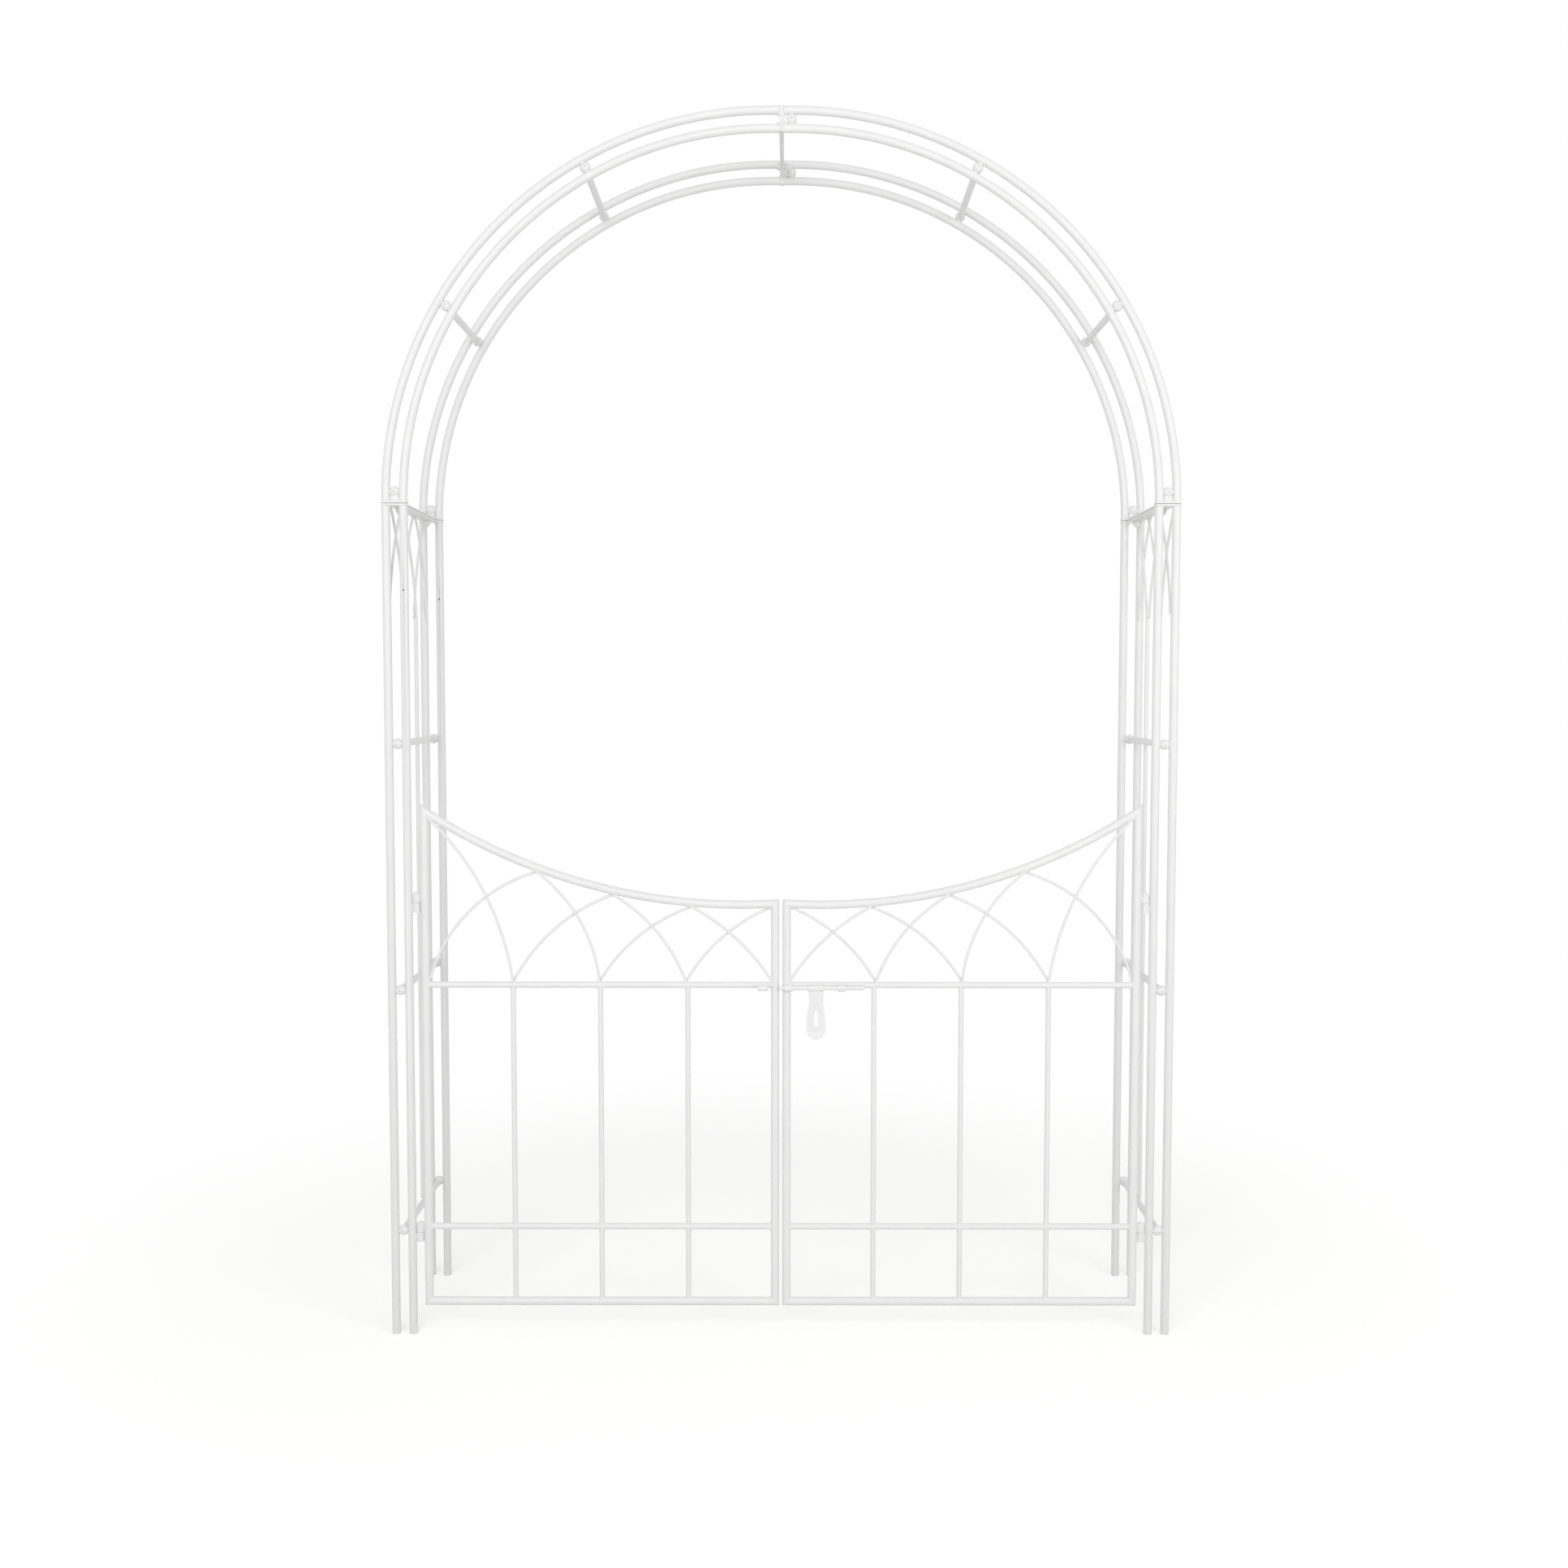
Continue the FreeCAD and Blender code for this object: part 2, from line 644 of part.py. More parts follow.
def make_gate_lattice(side, sign, pieces, mid):
    """Pointed arches in two layers between the mid rail and the curved top rail."""
    foot_z = size("mid_rail_height") + size("rail_diameter") / 2
    layer = size("lattice_rod_diameter") / 2
    rods = []
    for first, second in GATE_ARCHES:
        for foot, top, shift in ((first, second, layer), (second, first, -layer)):
            y = front_y + shift
            top_x = size(f"top_{top}")
            points = (
                Vector(sign * size(f"foot_{foot}"), y, foot_z),
                Vector(sign * size(f"cross_{second}_x"), y, size(f"cross_{second}_z")),
                Vector(sign * top_x, y, top_rail_height(top_x) - tube_radius),
            )
            bar = bent_rod(f"{side}_arch", *points, "lattice_rod_diameter", ROD_SIDES, ROD_OVERRUN)
            neighbours = [mid, pieces["top"]]
            if 0 in (foot, top):
                neighbours.append(pieces["hinge"])
            if 4 in (foot, top):
                neighbours.append(pieces["meeting"])
            rods.append(cut(bar, *neighbours))
    group(f"{side}_gate_lattice", rods)


def make_weld(name, start_x, end_x, low, high):
    """A run of weld metal between a hinge barrel and its tube."""
    half = size("weld_width") / 2
    first, last = sorted((start_x, end_x))
    return block(name, Vector(first, front_y - half, low + half), Vector(last, front_y + half, high - half))


def make_hinges(side, sign, stile, post):
    """Lift-off hinges: pins stand up on the post and the leaf's barrels drop onto them."""
    pintles = []
    knuckles = []
    x = sign * hinge_x
    up = Vector(0, 0, 1)
    gap = size("barrel_gap") / 2
    for level in ("low", "high"):
        split = Vector(x, front_y, size(f"{level}_hinge_height"))
        seat = split - up * gap
        base = seat - up * size("pintle_barrel_height")
        barrel = rod(f"{side}_{level}_socket", base, seat, "barrel_diameter")
        weld = make_weld(f"{side}_{level}_post_weld", x, sign * size("post_inner_x"), base.z, seat.z)
        tip = split + up * (gap + size("knuckle_height") - 1)
        pin = rod(f"{side}_{level}_pin", seat, tip, "pin_diameter")
        point = turned(f"{side}_{level}_tip", Placement(tip, Rotation()), ball_rings("pin_diameter", POLE, 90, 2))
        pintles.append(cut(fuse(f"{side}_{level}_pintle", [barrel, weld, pin, point]), post))

        foot = split + up * gap
        head = foot + up * size("knuckle_height")
        sleeve = rod(f"{side}_{level}_sleeve", foot, head, "barrel_diameter")
        weld = make_weld(f"{side}_{level}_stile_weld", x, sign * size("hinge_stile_x"), foot.z, head.z)
        bore = add("Part::Cylinder", f"{side}_{level}_bore", Placement(foot, Rotation()),
                   Radius="Size.pin_diameter / 2 + Size.running_clearance", Height="Size.knuckle_height")
        knuckles.append(cut(fuse(f"{side}_{level}_knuckle", [sleeve, weld]), stile, bore))
    group(f"{side}_pintles", pintles)
    group(f"{side}_knuckles", knuckles)


def latch_point(x, drop=0.0, forward=0.0):
    """A point given from the axis of the sliding bolt."""
    return Vector(x, front_y - size("latch_standoff") - forward, size("latch_height") - drop)


def make_guides(stile, mid):
    """Two sleeves on the right leaf, in which the bolt slides and turns."""
    guides = []
    for start, end in (NEAR_GUIDE, FAR_GUIDE):
        sleeve = rod("guide_sleeve", latch_point(start), latch_point(end), "guide_diameter")
        bore = rod("guide_bore", latch_point(start), latch_point(end), "pin_diameter")
        bore.setExpression("Radius", "Size.pin_diameter / 2 + Size.running_clearance")
        guides.append(cut(sleeve, stile, mid, bore))
    group("bolt_guides", guides)


def make_keeper(mid):
    """A sleeve on a small foot on the left leaf, which takes the end of the bolt."""
    start, end = KEEPER
    sleeve = rod("keeper_sleeve", latch_point(start), latch_point(end), "keeper_diameter")
    bore = rod("keeper_hole", latch_point(start), latch_point(end), "keeper_bore")
    keep("keeper", cut(sleeve, bore))
    half = size("weld_width") / 2
    low = latch_point(KEEPER_FOOT[0], half)
    high = latch_point(KEEPER_FOOT[1], -2 * half)
    foot = block("keeper_block", low, Vector(high.x, front_y, high.z))
    keep("keeper_foot", cut(foot, sleeve, mid))


def make_bolt_rod():
    """The sliding bolt, drawn back far enough for the leaves to swing."""
    radius = size("pin_diameter") / 2
    start = latch_point(size("bolt_tip_x"))
    end = latch_point(size("bolt_end_x") - radius)
    bar = rod("bolt_bar", start, end, "pin_diameter")
    point = turned("bolt_end", along(end, Vector(1, 0, 0)), ball_rings("pin_diameter", POLE, 90, 2))
    keep("bolt_rod", fuse("bolt_blank", [bar, point]))


def make_hasp():
    """A waisted plate with a slot and a bent lip, hung from the bolt by its eye."""
    x = size("hasp_x")
    half = size("hasp_width") / 2
    deep = Vector(0, BLOCK / 2, 0)
    axis = latch_point(x)
    centre = axis - Vector(0, 0, size("hasp_drop") - half)

    disc = rod("hasp_round", centre - deep, centre + deep, "hasp_width")
    panel = block("hasp_panel", centre - deep - Vector(half, 0, 0), axis + deep + Vector(half, 0, BLOCK / 4))
    outline = fuse("hasp_outline", [disc, panel])
    waist_z = (size("hasp_drop") - size("hasp_width")) / 2
    for way in (-1, 1):
        offset = way * (size("hasp_waist") / 2 + size("hasp_waist_radius"))
        start = axis + Vector(offset, 0, -waist_z) - deep
        scoop = add("Part::Cylinder", "hasp_waist", along(start, Vector(0, 1, 0)), Radius="Size.hasp_waist_radius")
        scoop.Height = BLOCK
        outline = cut(outline, scoop)
    slot_half = size("hasp_slot_width") / 2
    slot_top = axis - Vector(0, 0, size("hasp_slot_top") + slot_half)
    slot_bottom = axis - Vector(0, 0, size("hasp_slot_bottom") - slot_half)
    for spot in (slot_top, slot_bottom):
        outline = cut(outline, rod("slot_end", spot - deep, spot + deep, "hasp_slot_width"))
    slot = block("hasp_slot", slot_bottom - deep - Vector(slot_half, 0, 0), slot_top + deep + Vector(slot_half, 0, 0))
    outline = cut(outline, slot)

    thin = Vector(0, size("hasp_thickness") / 2, 0)
    wide = Vector(half, 0, 0)
    fold = axis - Vector(0, 0, size("hasp_lip_drop"))
    flat = block("hasp_flat", fold - wide - thin, axis + wide + thin)
    lip = block("hasp_lip", Vector(-half, -thin.y, -BLOCK / 2), Vector(half, thin.y, 0))
    lip.Placement = Placement(fold, Rotation(Vector(1, 0, 0), -size("hasp_lip_angle"))) * lip.Placement
    reach = Vector(size("hasp_eye_width") / 2, 0, 0)
    eye = rod("hasp_eye", axis - reach, axis + reach, "hasp_eye_diameter")
    plate = common("hasp_plate", outline, fuse("hasp_profile", [flat, lip]))
    bore = rod("hasp_bore", axis - wide, axis + wide, "pin_diameter")
    bore.setExpression("Radius", "Size.pin_diameter / 2 + Size.running_clearance")
    keep("hasp", cut(fuse("hasp_blank", [plate, eye]), bore))


def check(item):
    """Stop if an object failed or holds no sound solid."""
    if "Invalid" in item.State or "Error" in item.State:
        raise RuntimeError(f"{item.Label} is {item.State}")
    if item in nodes and (item.Shape.isNull() or not item.Shape.isValid() or not item.Shape.Solids):
        raise RuntimeError(f"{item.Label} has no sound solid")


for side_name, side_sign in SIDES:
    make_leg(side_name, side_sign)
make_arch()
make_joints()
gate = {}
for side_name, side_sign in SIDES:
    gate[side_name] = make_leaf(side_name, side_sign)
    post_outside = doc.getObject(f"front_{side_name}_inner_post_outside")
    make_hinges(side_name, side_sign, gate[side_name][0]["hinge"], post_outside)
make_guides(gate["right"][0]["meeting"], gate["right"][1])
make_keeper(gate["left"][1])
make_bolt_rod()
make_hasp()

doc.recompute()
for part in doc.Objects:
    check(part)

os.makedirs("parts", exist_ok=True)
for part in nodes:
    part.Shape.exportStep(f"parts/{part.Label}.step")
print(f"{len(nodes)} nodes, {sum(len(part.Shape.Solids) for part in nodes)} solids")
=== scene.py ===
"""Looks of a white powder-coated garden arch with a two-leaf gate.

Lengths are in metres, z is up and the front faces -y. Every piece stands on
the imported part: its planes, joints and axes are read from there.
"""

import json
import logging
import math
import random
from dataclasses import dataclass, field
from enum import Enum
from typing import Callable, Sequence

import bmesh
import bpy
from mathutils import Matrix, Vector


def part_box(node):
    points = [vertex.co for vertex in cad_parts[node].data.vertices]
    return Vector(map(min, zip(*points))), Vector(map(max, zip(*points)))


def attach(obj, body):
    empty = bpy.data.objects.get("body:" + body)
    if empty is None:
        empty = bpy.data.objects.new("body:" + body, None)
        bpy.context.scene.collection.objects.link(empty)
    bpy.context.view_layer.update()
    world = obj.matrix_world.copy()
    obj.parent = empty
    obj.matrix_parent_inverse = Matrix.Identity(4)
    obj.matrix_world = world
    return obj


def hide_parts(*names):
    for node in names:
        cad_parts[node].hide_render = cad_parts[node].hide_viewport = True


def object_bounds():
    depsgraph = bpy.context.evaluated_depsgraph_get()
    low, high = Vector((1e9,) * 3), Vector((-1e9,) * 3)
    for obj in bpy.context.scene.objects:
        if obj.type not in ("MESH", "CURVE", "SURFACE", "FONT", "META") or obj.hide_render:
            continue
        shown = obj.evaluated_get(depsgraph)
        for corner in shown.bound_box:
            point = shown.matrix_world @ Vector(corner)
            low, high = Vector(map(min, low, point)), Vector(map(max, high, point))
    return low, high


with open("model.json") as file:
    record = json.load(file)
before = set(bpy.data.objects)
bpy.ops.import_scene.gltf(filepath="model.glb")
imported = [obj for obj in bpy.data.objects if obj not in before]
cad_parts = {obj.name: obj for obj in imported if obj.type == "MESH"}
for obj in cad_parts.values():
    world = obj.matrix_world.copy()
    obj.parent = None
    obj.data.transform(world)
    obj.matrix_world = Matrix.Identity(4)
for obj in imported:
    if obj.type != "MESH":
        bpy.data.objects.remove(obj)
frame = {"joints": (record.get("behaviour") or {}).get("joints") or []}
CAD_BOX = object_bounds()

MM = 0.001
X, Y, Z = Vector((1, 0, 0)), Vector((0, 1, 0)), Vector((0, 0, 1))
IMAGE_SIZE = 1932
SHARP_ANGLE = math.radians(38)
# A dome ends in a ring of this radius, which its last face closes.
TIP = 0.02 * MM
# The middle point of an eased edge lies this share of its width from each face.
ROUND_SHARE = 0.3
log = logging.getLogger("garden_arch")


def square_to(direction: Vector) -> Vector:
    """A direction square to another one, taken from z where that one runs nearly along x."""
    nearly_along = 0.9
    return direction.cross(X if abs(direction.x) < nearly_along else Z).normalized()


def circle(across: Vector, beside: Vector, count: int) -> list[Vector]:
    """Directions evenly round a circle, from one direction towards another."""
    angles = [math.tau * i / count for i in range(count)]
    return [across * math.cos(angle) + beside * math.sin(angle) for angle in angles]


def quarter_turn(steps: int) -> list[tuple[float, float]]:
    """Sine and cosine at even steps through a right angle."""
    angles = [math.pi / 2 * i / steps for i in range(steps + 1)]
    return [(math.sin(angle), math.cos(angle)) for angle in angles]


class Side(Enum):
    """Left or right of the opening, as the sign of x."""

    LEFT = -1
    RIGHT = 1

    @property
    def word(self) -> str:
        """The side's name in node names."""
        return self.name.lower()


class Plane(Enum):
    """Front or rear plane of tubes, as the direction from the plane into the arch."""

    FRONT = 1
    REAR = -1

    @property
    def word(self) -> str:
        """The plane's name in node names."""
        return self.name.lower()


class BarEnd(Enum):
    """How the end of a bar is made."""

    HIDDEN = "runs into its neighbour"
    EASED = "cut square, with an eased edge"
    DOMED = "rounded over"


@dataclass(frozen=True)
class Line:
    """A straight centre line."""

    start: Vector
    end: Vector

    @property
    def heading(self) -> Vector:
        """Direction from start to end."""
        return (self.end - self.start).normalized()

    @property
    def normal(self) -> Vector:
        """A direction square to the line."""
        return square_to(self.heading)

    def stations(self) -> list[tuple[Vector, Vector]]:
        """Places along the line, each with the heading there."""
        return [(self.start, self.heading), (self.end, self.heading)]

    def distance(self, point: Vector) -> float:
        """Distance from a point to the endless line."""
        return (point - self.start).cross(self.heading).length


@dataclass(frozen=True)
class Arc:
    """A centre line along a circle, turning from the first direction."""

    centre: Vector
    axis: Vector
    first: Vector
    radius: float
    sweep: float
    step: float = math.radians(1.5)

    @classmethod
    def through(cls, start: Vector, middle: Vector, end: Vector, overrun: float = 0.0) -> "Arc":
        """Make the arc through three points.

        Args:
            start: First point.
            middle: A point between the ends.
            end: Last point.
            overrun: Length by which each end runs on.

        Returns:
            The arc.
        """
        a, b = middle - start, end - start
        axis = a.cross(b)
        offset = (b * a.length_squared - a * b.length_squared).cross(axis) / (2 * axis.length_squared)
        centre = start + offset
        axis.normalize()
        radius = offset.length
        first = -offset / radius
        last = (end - centre) / radius
        sweep = math.atan2(first.cross(last).dot(axis), first.dot(last)) % math.tau
        extra = overrun / radius
        first = Matrix.Rotation(-extra, 3, axis) @ first
        return cls(centre, axis, first, radius, sweep + 2 * extra)

    @property
    def normal(self) -> Vector:
        """The direction square to the arc's plane."""
        return self.axis

    def at(self, angle: float) -> tuple[Vector, Vector]:
        """Place and heading at an angle from the first end."""
        outward = Matrix.Rotation(angle, 3, self.axis) @ self.first
        return self.centre + outward * self.radius, self.axis.cross(outward)

    def stations(self) -> list[tuple[Vector, Vector]]:
        """Places along the arc, each with the heading there."""
        count = max(2, round(self.sweep / self.step))
        return [self.at(self.sweep * i / count) for i in range(count + 1)]

    def distance(self, point: Vector) -> float:
        """Distance from a point to the whole circle.

        Args:
            point: The point.

        Returns:
            The distance.
        """
        offset = point - self.centre
        rise = offset.dot(self.axis)
        return math.hypot((offset - self.axis * rise).length - self.radius, rise)


@dataclass(frozen=True)
class Bar:
    """A round bar or tube along a centre line."""

    path: Line | Arc
    radius: float

    def gap(self, point: Vector) -> float:
        """Distance from a point to the bar's skin, negative inside."""
        return self.path.distance(point) - self.radius


@dataclass(frozen=True)
class Ball:
    """A round ball."""

    centre: Vector
    radius: float

    def gap(self, point: Vector) -> float:
        """Distance from a point to the ball's skin, negative inside."""
        return (point - self.centre).length - self.radius


@dataclass(frozen=True)
class Mitre:
    """A flat cut through a point, square to a normal."""

    point: Vector
    normal: Vector

    def meet(self, place: Vector, heading: Vector) -> Vector:
        """Where a line from a place along a heading meets the cut."""
        return place + heading * ((self.point - place).dot(self.normal) / heading.dot(self.normal))


Cut = BarEnd | Mitre
Station = tuple[Vector, Vector, float]
BOTH_HIDDEN = (BarEnd.HIDDEN, BarEnd.HIDDEN)
BOTH_EASED = (BarEnd.EASED, BarEnd.EASED)


def shade(mesh: bpy.types.Mesh) -> None:
    """Shade a mesh smooth, apart from its sharp edges."""
    mesh.shade_smooth()
    mesh.set_sharp_from_angle(angle=SHARP_ANGLE)


@dataclass
class Draft:
    """Vertices and faces of a piece while it is built."""

    vertices: list[Vector] = field(default_factory=list)
    faces: list[tuple[int, ...]] = field(default_factory=list)

    def ring(self, points: Sequence[Vector]) -> list[int]:
        """Add a closed row of points.

        Args:
            points: The points in order.

        Returns:
            Their numbers.
        """
        first = len(self.vertices)
        self.vertices.extend(points)
        return list(range(first, first + len(points)))

    def band(self, rows: Sequence[Sequence[int]], closed: bool = False) -> None:
        """Join neighbouring rings with four-sided faces.

        Args:
            rows: The rings in order.
            closed: True if the last ring joins the first.
        """
        pairs = list(zip(rows, rows[1:]))
        if closed:
            pairs.append((rows[-1], rows[0]))
        for low, high in pairs:
            for i in range(len(low)):
                j = (i + 1) % len(low)
                self.faces.append((low[i], low[j], high[j], high[i]))

    def solid(self, rows: Sequence[Sequence[int]]) -> None:
        """Join rings into a body with a flat face at each end.

        Args:
            rows: The rings in order.
        """
        self.band(rows)
        self.faces.append(tuple(reversed(rows[0])))
        self.faces.append(tuple(rows[-1]))

    @staticmethod
    def rounded(station: Station, outward: Vector, size: float, steps: int) -> list[Station]:
        """Stations that round the edge at the end of a bar.

        Args:
            station: Place, heading and radius at the end.
            outward: Direction out of the end.
            size: Radius of the rounded edge.
            steps: Steps through it.

        Returns:
            The stations, from the bar outwards.
        """
        place, heading, radius = station
        stations = [(place - outward * size, heading, radius)]
        for sine, cosine in quarter_turn(steps)[1:]:
            shift = outward * size * (sine - 1)
            stations.append((place + shift, heading, max(radius - size * (1 - cosine), TIP)))
        return stations

    def tube(self, bar: Bar, ends: tuple[Cut, Cut] = BOTH_HIDDEN, sides: int = 28,
             ease: float = 0.5 * MM) -> None:
        """Add a round bar.

        Args:
            bar: The bar.
            ends: How its start and its end are made, or the mitre that cuts them.
            sides: Faces round the bar.
            ease: Radius of an eased edge.
        """
        dome, eased = (bar.radius, 8), (ease, 3)
        stations = [(place, heading, bar.radius) for place, heading in bar.path.stations()]
        start, end = [dome if cut is BarEnd.DOMED else eased for cut in ends]
        if ends[0] in (BarEnd.EASED, BarEnd.DOMED):
            stations[:1] = self.rounded(stations[0], -stations[0][1], *start)[::-1]
        if ends[1] in (BarEnd.EASED, BarEnd.DOMED):
            stations[-1:] = self.rounded(stations[-1], stations[-1][1], *end)
        rows = []
        for index, (place, heading, radius) in enumerate(stations):
            across = bar.path.normal
            spots = [place + way * radius for way in circle(across, heading.cross(across), sides)]
            cut = ends[0] if index == 0 else ends[1] if index == len(stations) - 1 else None
            if isinstance(cut, Mitre):
                spots = [cut.meet(spot, heading) for spot in spots]
            rows.append(self.ring(spots))
        self.solid(rows)

    @staticmethod
    def to_flat(angle: float, across_flats: float) -> float:
        """Distance from the middle of a hexagon to its rim at an angle."""
        from_flat = (angle + math.pi / 6) % (math.pi / 3) - math.pi / 6
        return across_flats / 2 / math.cos(from_flat)

    def turned(self, base: Vector, axis: Vector, profile: Sequence[tuple[float, float]], sides: int = 32,
               hexagon: float = 0.0, closed: bool = False) -> None:
        """Add a turned piece.

        Args:
            base: Point on the axis at height nought.
            axis: Direction of the axis.
            profile: Pairs of height and radius along the section.
            sides: Faces round the piece.
            hexagon: Width across flats that limits the radius, or nought for a round piece.
            closed: True if the section is a closed loop, as in a sleeve.
        """
        across = square_to(axis)
        ways = circle(across, axis.cross(across), sides)
        limits = [self.to_flat(math.tau * i / sides, hexagon) if hexagon else math.inf for i in range(sides)]
        rows = []
        for height, radius in profile:
            place = base + axis * height
            rows.append(self.ring([place + way * min(radius, limit) for way, limit in zip(ways, limits)]))
        if closed:
            self.band(rows, closed)
        else:
            self.solid(rows)

    def slab(self, outline: Sequence[tuple[float, float]], place: Matrix, thickness: float,
             ease: float) -> None:
        """Add a flat plate with eased edges.

        Args:
            outline: Corners of the outline, anticlockwise, in the plate's own plane.
            place: Matrix from the plate's plane, with thickness along z, to the row frame.
            thickness: Thickness of the plate.
            ease: Width of the eased edge.
        """
        count = len(outline)
        inner = []
        for i, (u, v) in enumerate(outline):
            ahead, behind = outline[(i + 1) % count], outline[i - 1]
            du, dv = ahead[0] - behind[0], ahead[1] - behind[1]
            size = math.hypot(du, dv)
            inner.append((u - dv / size * ease, v + du / size * ease))
        rows = []
        for points, height in ((inner, 0), (outline, ease), (outline, thickness - ease), (inner, thickness)):
            rows.append(self.ring([place @ Vector((u, v, height)) for u, v in points]))
        self.solid(rows)

    def trim(self, low: Sequence[float], high: Sequence[float]) -> None:
        """Dress welds flush with the outermost tubes, which the box touches.

        Args:
            low: Lowest corner of the box.
            high: Highest corner of the box.
        """
        for vertex in self.vertices:
            for i in range(3):
                vertex[i] = min(max(vertex[i], low[i]), high[i])

    def to_object(self, name: str) -> bpy.types.Object:
        """Make a smooth-shaded mesh object of the draft.

        Args:
            name: The object's name.

        Returns:
            The object, linked to the scene.
        """
        mesh = bpy.data.meshes.new(name)
        mesh.from_pydata([tuple(v) for v in self.vertices], [], self.faces)
        work = bmesh.new()
        work.from_mesh(mesh)
        bmesh.ops.recalc_face_normals(work, faces=work.faces)
        work.to_mesh(mesh)
        work.free()
        shade(mesh)
        piece = bpy.data.objects.new(name, mesh)
        bpy.context.scene.collection.objects.link(piece)
        return piece


@dataclass
class WeldedDraft(Draft):
    """A draft that also takes runs of weld, whose ripples come from seeded dice."""

    dice: random.Random = field(kw_only=True)
    bead_sides: int = 8
    ripple_pitch: float = 1.3 * MM
    bead_ripple: float = 0.10
    bead_sway: float = 0.12
    seam_ripple: float = 0.09
    seam_step: float = 0.45 * MM
    seam_blunt: float = 0.02
    seam_squareness: int = 6
    fillet_leg: float = 0.9 * MM
    fillet_wide: float = 6.5 * MM
    fillet_inside: float = 0.3 * MM
    fillet_under: float = 0.05 * MM
    plug_wide: float = 8.7 * MM
    plug_deep: float = 5.6 * MM
    plug_spread: float = 2.2 * MM

    def bead(self, root: Vector, heading: Vector, radius: float, neighbour: Callable[[Vector], float],
             size: float) -> None:
        """Add the weld bead where a bar meets its neighbour.

        Args:
            root: Point on the bar's centre line, inside or near the neighbour.
            heading: Direction of the bar, away from the neighbour.
            radius: Radius of the bar.
            neighbour: Distance from a point to the neighbour's skin.
            size: Radius of the bead.
        """
        across = square_to(heading)
        count, halvings, reach = 36, 18, 4 * radius + 4 * size
        phase = self.dice.random() * math.tau
        ripples = max(6, round(math.tau * radius / self.ripple_pitch))
        ways = circle(across, heading.cross(across), count)
        spots = []
        for outward in ways:
            low, high = -reach, reach
            for _ in range(halvings):
                middle = (low + high) / 2
                inside = neighbour(root + heading * middle + outward * radius) < 0
                low, high = (middle, high) if inside else (low, middle)
            spots.append(root + heading * high + outward * radius)
        rows = []
        for i, (spot, outward) in enumerate(zip(spots, ways)):
            onward = (spots[(i + 1) % count] - spots[i - 1]).normalized()
            up = outward.cross(onward).normalized()
            angle = math.tau * i / count
            ripple = self.bead_ripple * math.sin(ripples * angle + phase)
            sway = self.bead_sway * math.sin(2 * angle + 2 * phase)
            girth = size * (1 + ripple + sway)
            rows.append(self.ring([spot + way * girth for way in circle(outward, up, self.bead_sides)]))
        self.band(rows, closed=True)

    def seam(self, start: Vector, end: Vector, size: float) -> None:
        """Add a straight run of weld with ripples and tapered ends.

        Args:
            start: One end of the run.
            end: The other end.
            size: Radius of the run.
        """
        line = Line(start, end)
        length = (end - start).length
        count = max(8, round(length / self.seam_step))
        phase = self.dice.random() * math.tau
        across = line.normal
        ways = circle(across, line.heading.cross(across), self.bead_sides)
        rows = []
        for i in range(count + 1):
            share = i / count
            taper = math.sqrt(max(self.seam_blunt, 1 - abs(2 * share - 1) ** self.seam_squareness))
            ripple = self.seam_ripple * math.sin(share * length / self.ripple_pitch * math.tau + phase)
            girth = size * taper * (1 + ripple)
            place = start.lerp(end, share)
            rows.append(self.ring([place + way * girth for way in ways]))
        self.solid(rows)

    def flare(self, foot: Vector, axis: Vector, toward: Vector, radius: float) -> None:
        """Add the hollow fillet of weld where a tube stands on a plate.

        Args:
            foot: Centre of the tube on the plate.
            axis: Direction of the tube, away from the plate.
            toward: Direction to the twin tube, where the fillet is widest.
            radius: Radius of the tube.
        """
        count, steps, rows = 48, 5, []
        for i, outward in enumerate(circle(toward, axis.cross(toward), count)):
            facing = max(math.cos(math.tau * i / count), 0.0)
            leg = self.fillet_leg + (self.fillet_wide - self.fillet_leg) * facing**2
            skin = foot + outward * radius
            inside = skin - outward * self.fillet_inside
            points = [inside - axis * self.fillet_under, inside + axis * leg]
            for sine, cosine in quarter_turn(steps):
                points.append(skin + outward * leg * (1 - cosine) + axis * leg * (1 - sine))
            rows.append(self.ring(points))
        self.band(rows, closed=True)

    def plug(self, foot: Vector, axis: Vector, toward: Vector, height: float) -> None:
        """Add the weld metal that fills the way from a plate to a ball between twin tubes.

        Args:
            foot: Point of the plate nearest to the ball.
            axis: Direction from the plate to the ball.
            toward: Direction from one tube to its twin.
            height: Distance from the plate to the ball's centre.
        """
        beside = axis.cross(toward)
        count, sides, rows = 12, 32, []
        for k in range(count + 1):
            rise = height * k / count
            turn = math.pi / 2 * min(rise / (2 * self.plug_spread), 1)
            deep = self.plug_deep + self.plug_spread * (1 - math.sin(turn))
            row = []
            for i in range(sides):
                angle = math.tau * i / sides
                row.append(foot + axis * rise + toward * (self.plug_wide * math.cos(angle))
                           + beside * (deep * math.sin(angle)))
            rows.append(self.ring(row))
        self.solid(rows)


def drilled(piece: bpy.types.Object, drill: Draft) -> bpy.types.Object:
    """Cut the shape of a drill out of a piece.

    Args:
        piece: The piece.
        drill: Shape of the hole.

    Returns:
        The same piece, with the hole in its mesh.
    """
    cutter = drill.to_object("drill")
    cut = piece.modifiers.new("hole", "BOOLEAN")
    cut.object = cutter
    cut.solver = "EXACT"
    bpy.context.view_layer.update()
    graph = bpy.context.evaluated_depsgraph_get()
    mesh = bpy.data.meshes.new_from_object(piece.evaluated_get(graph))
    piece.modifiers.clear()
    piece.data = mesh
    bpy.data.objects.remove(cutter)
    return piece


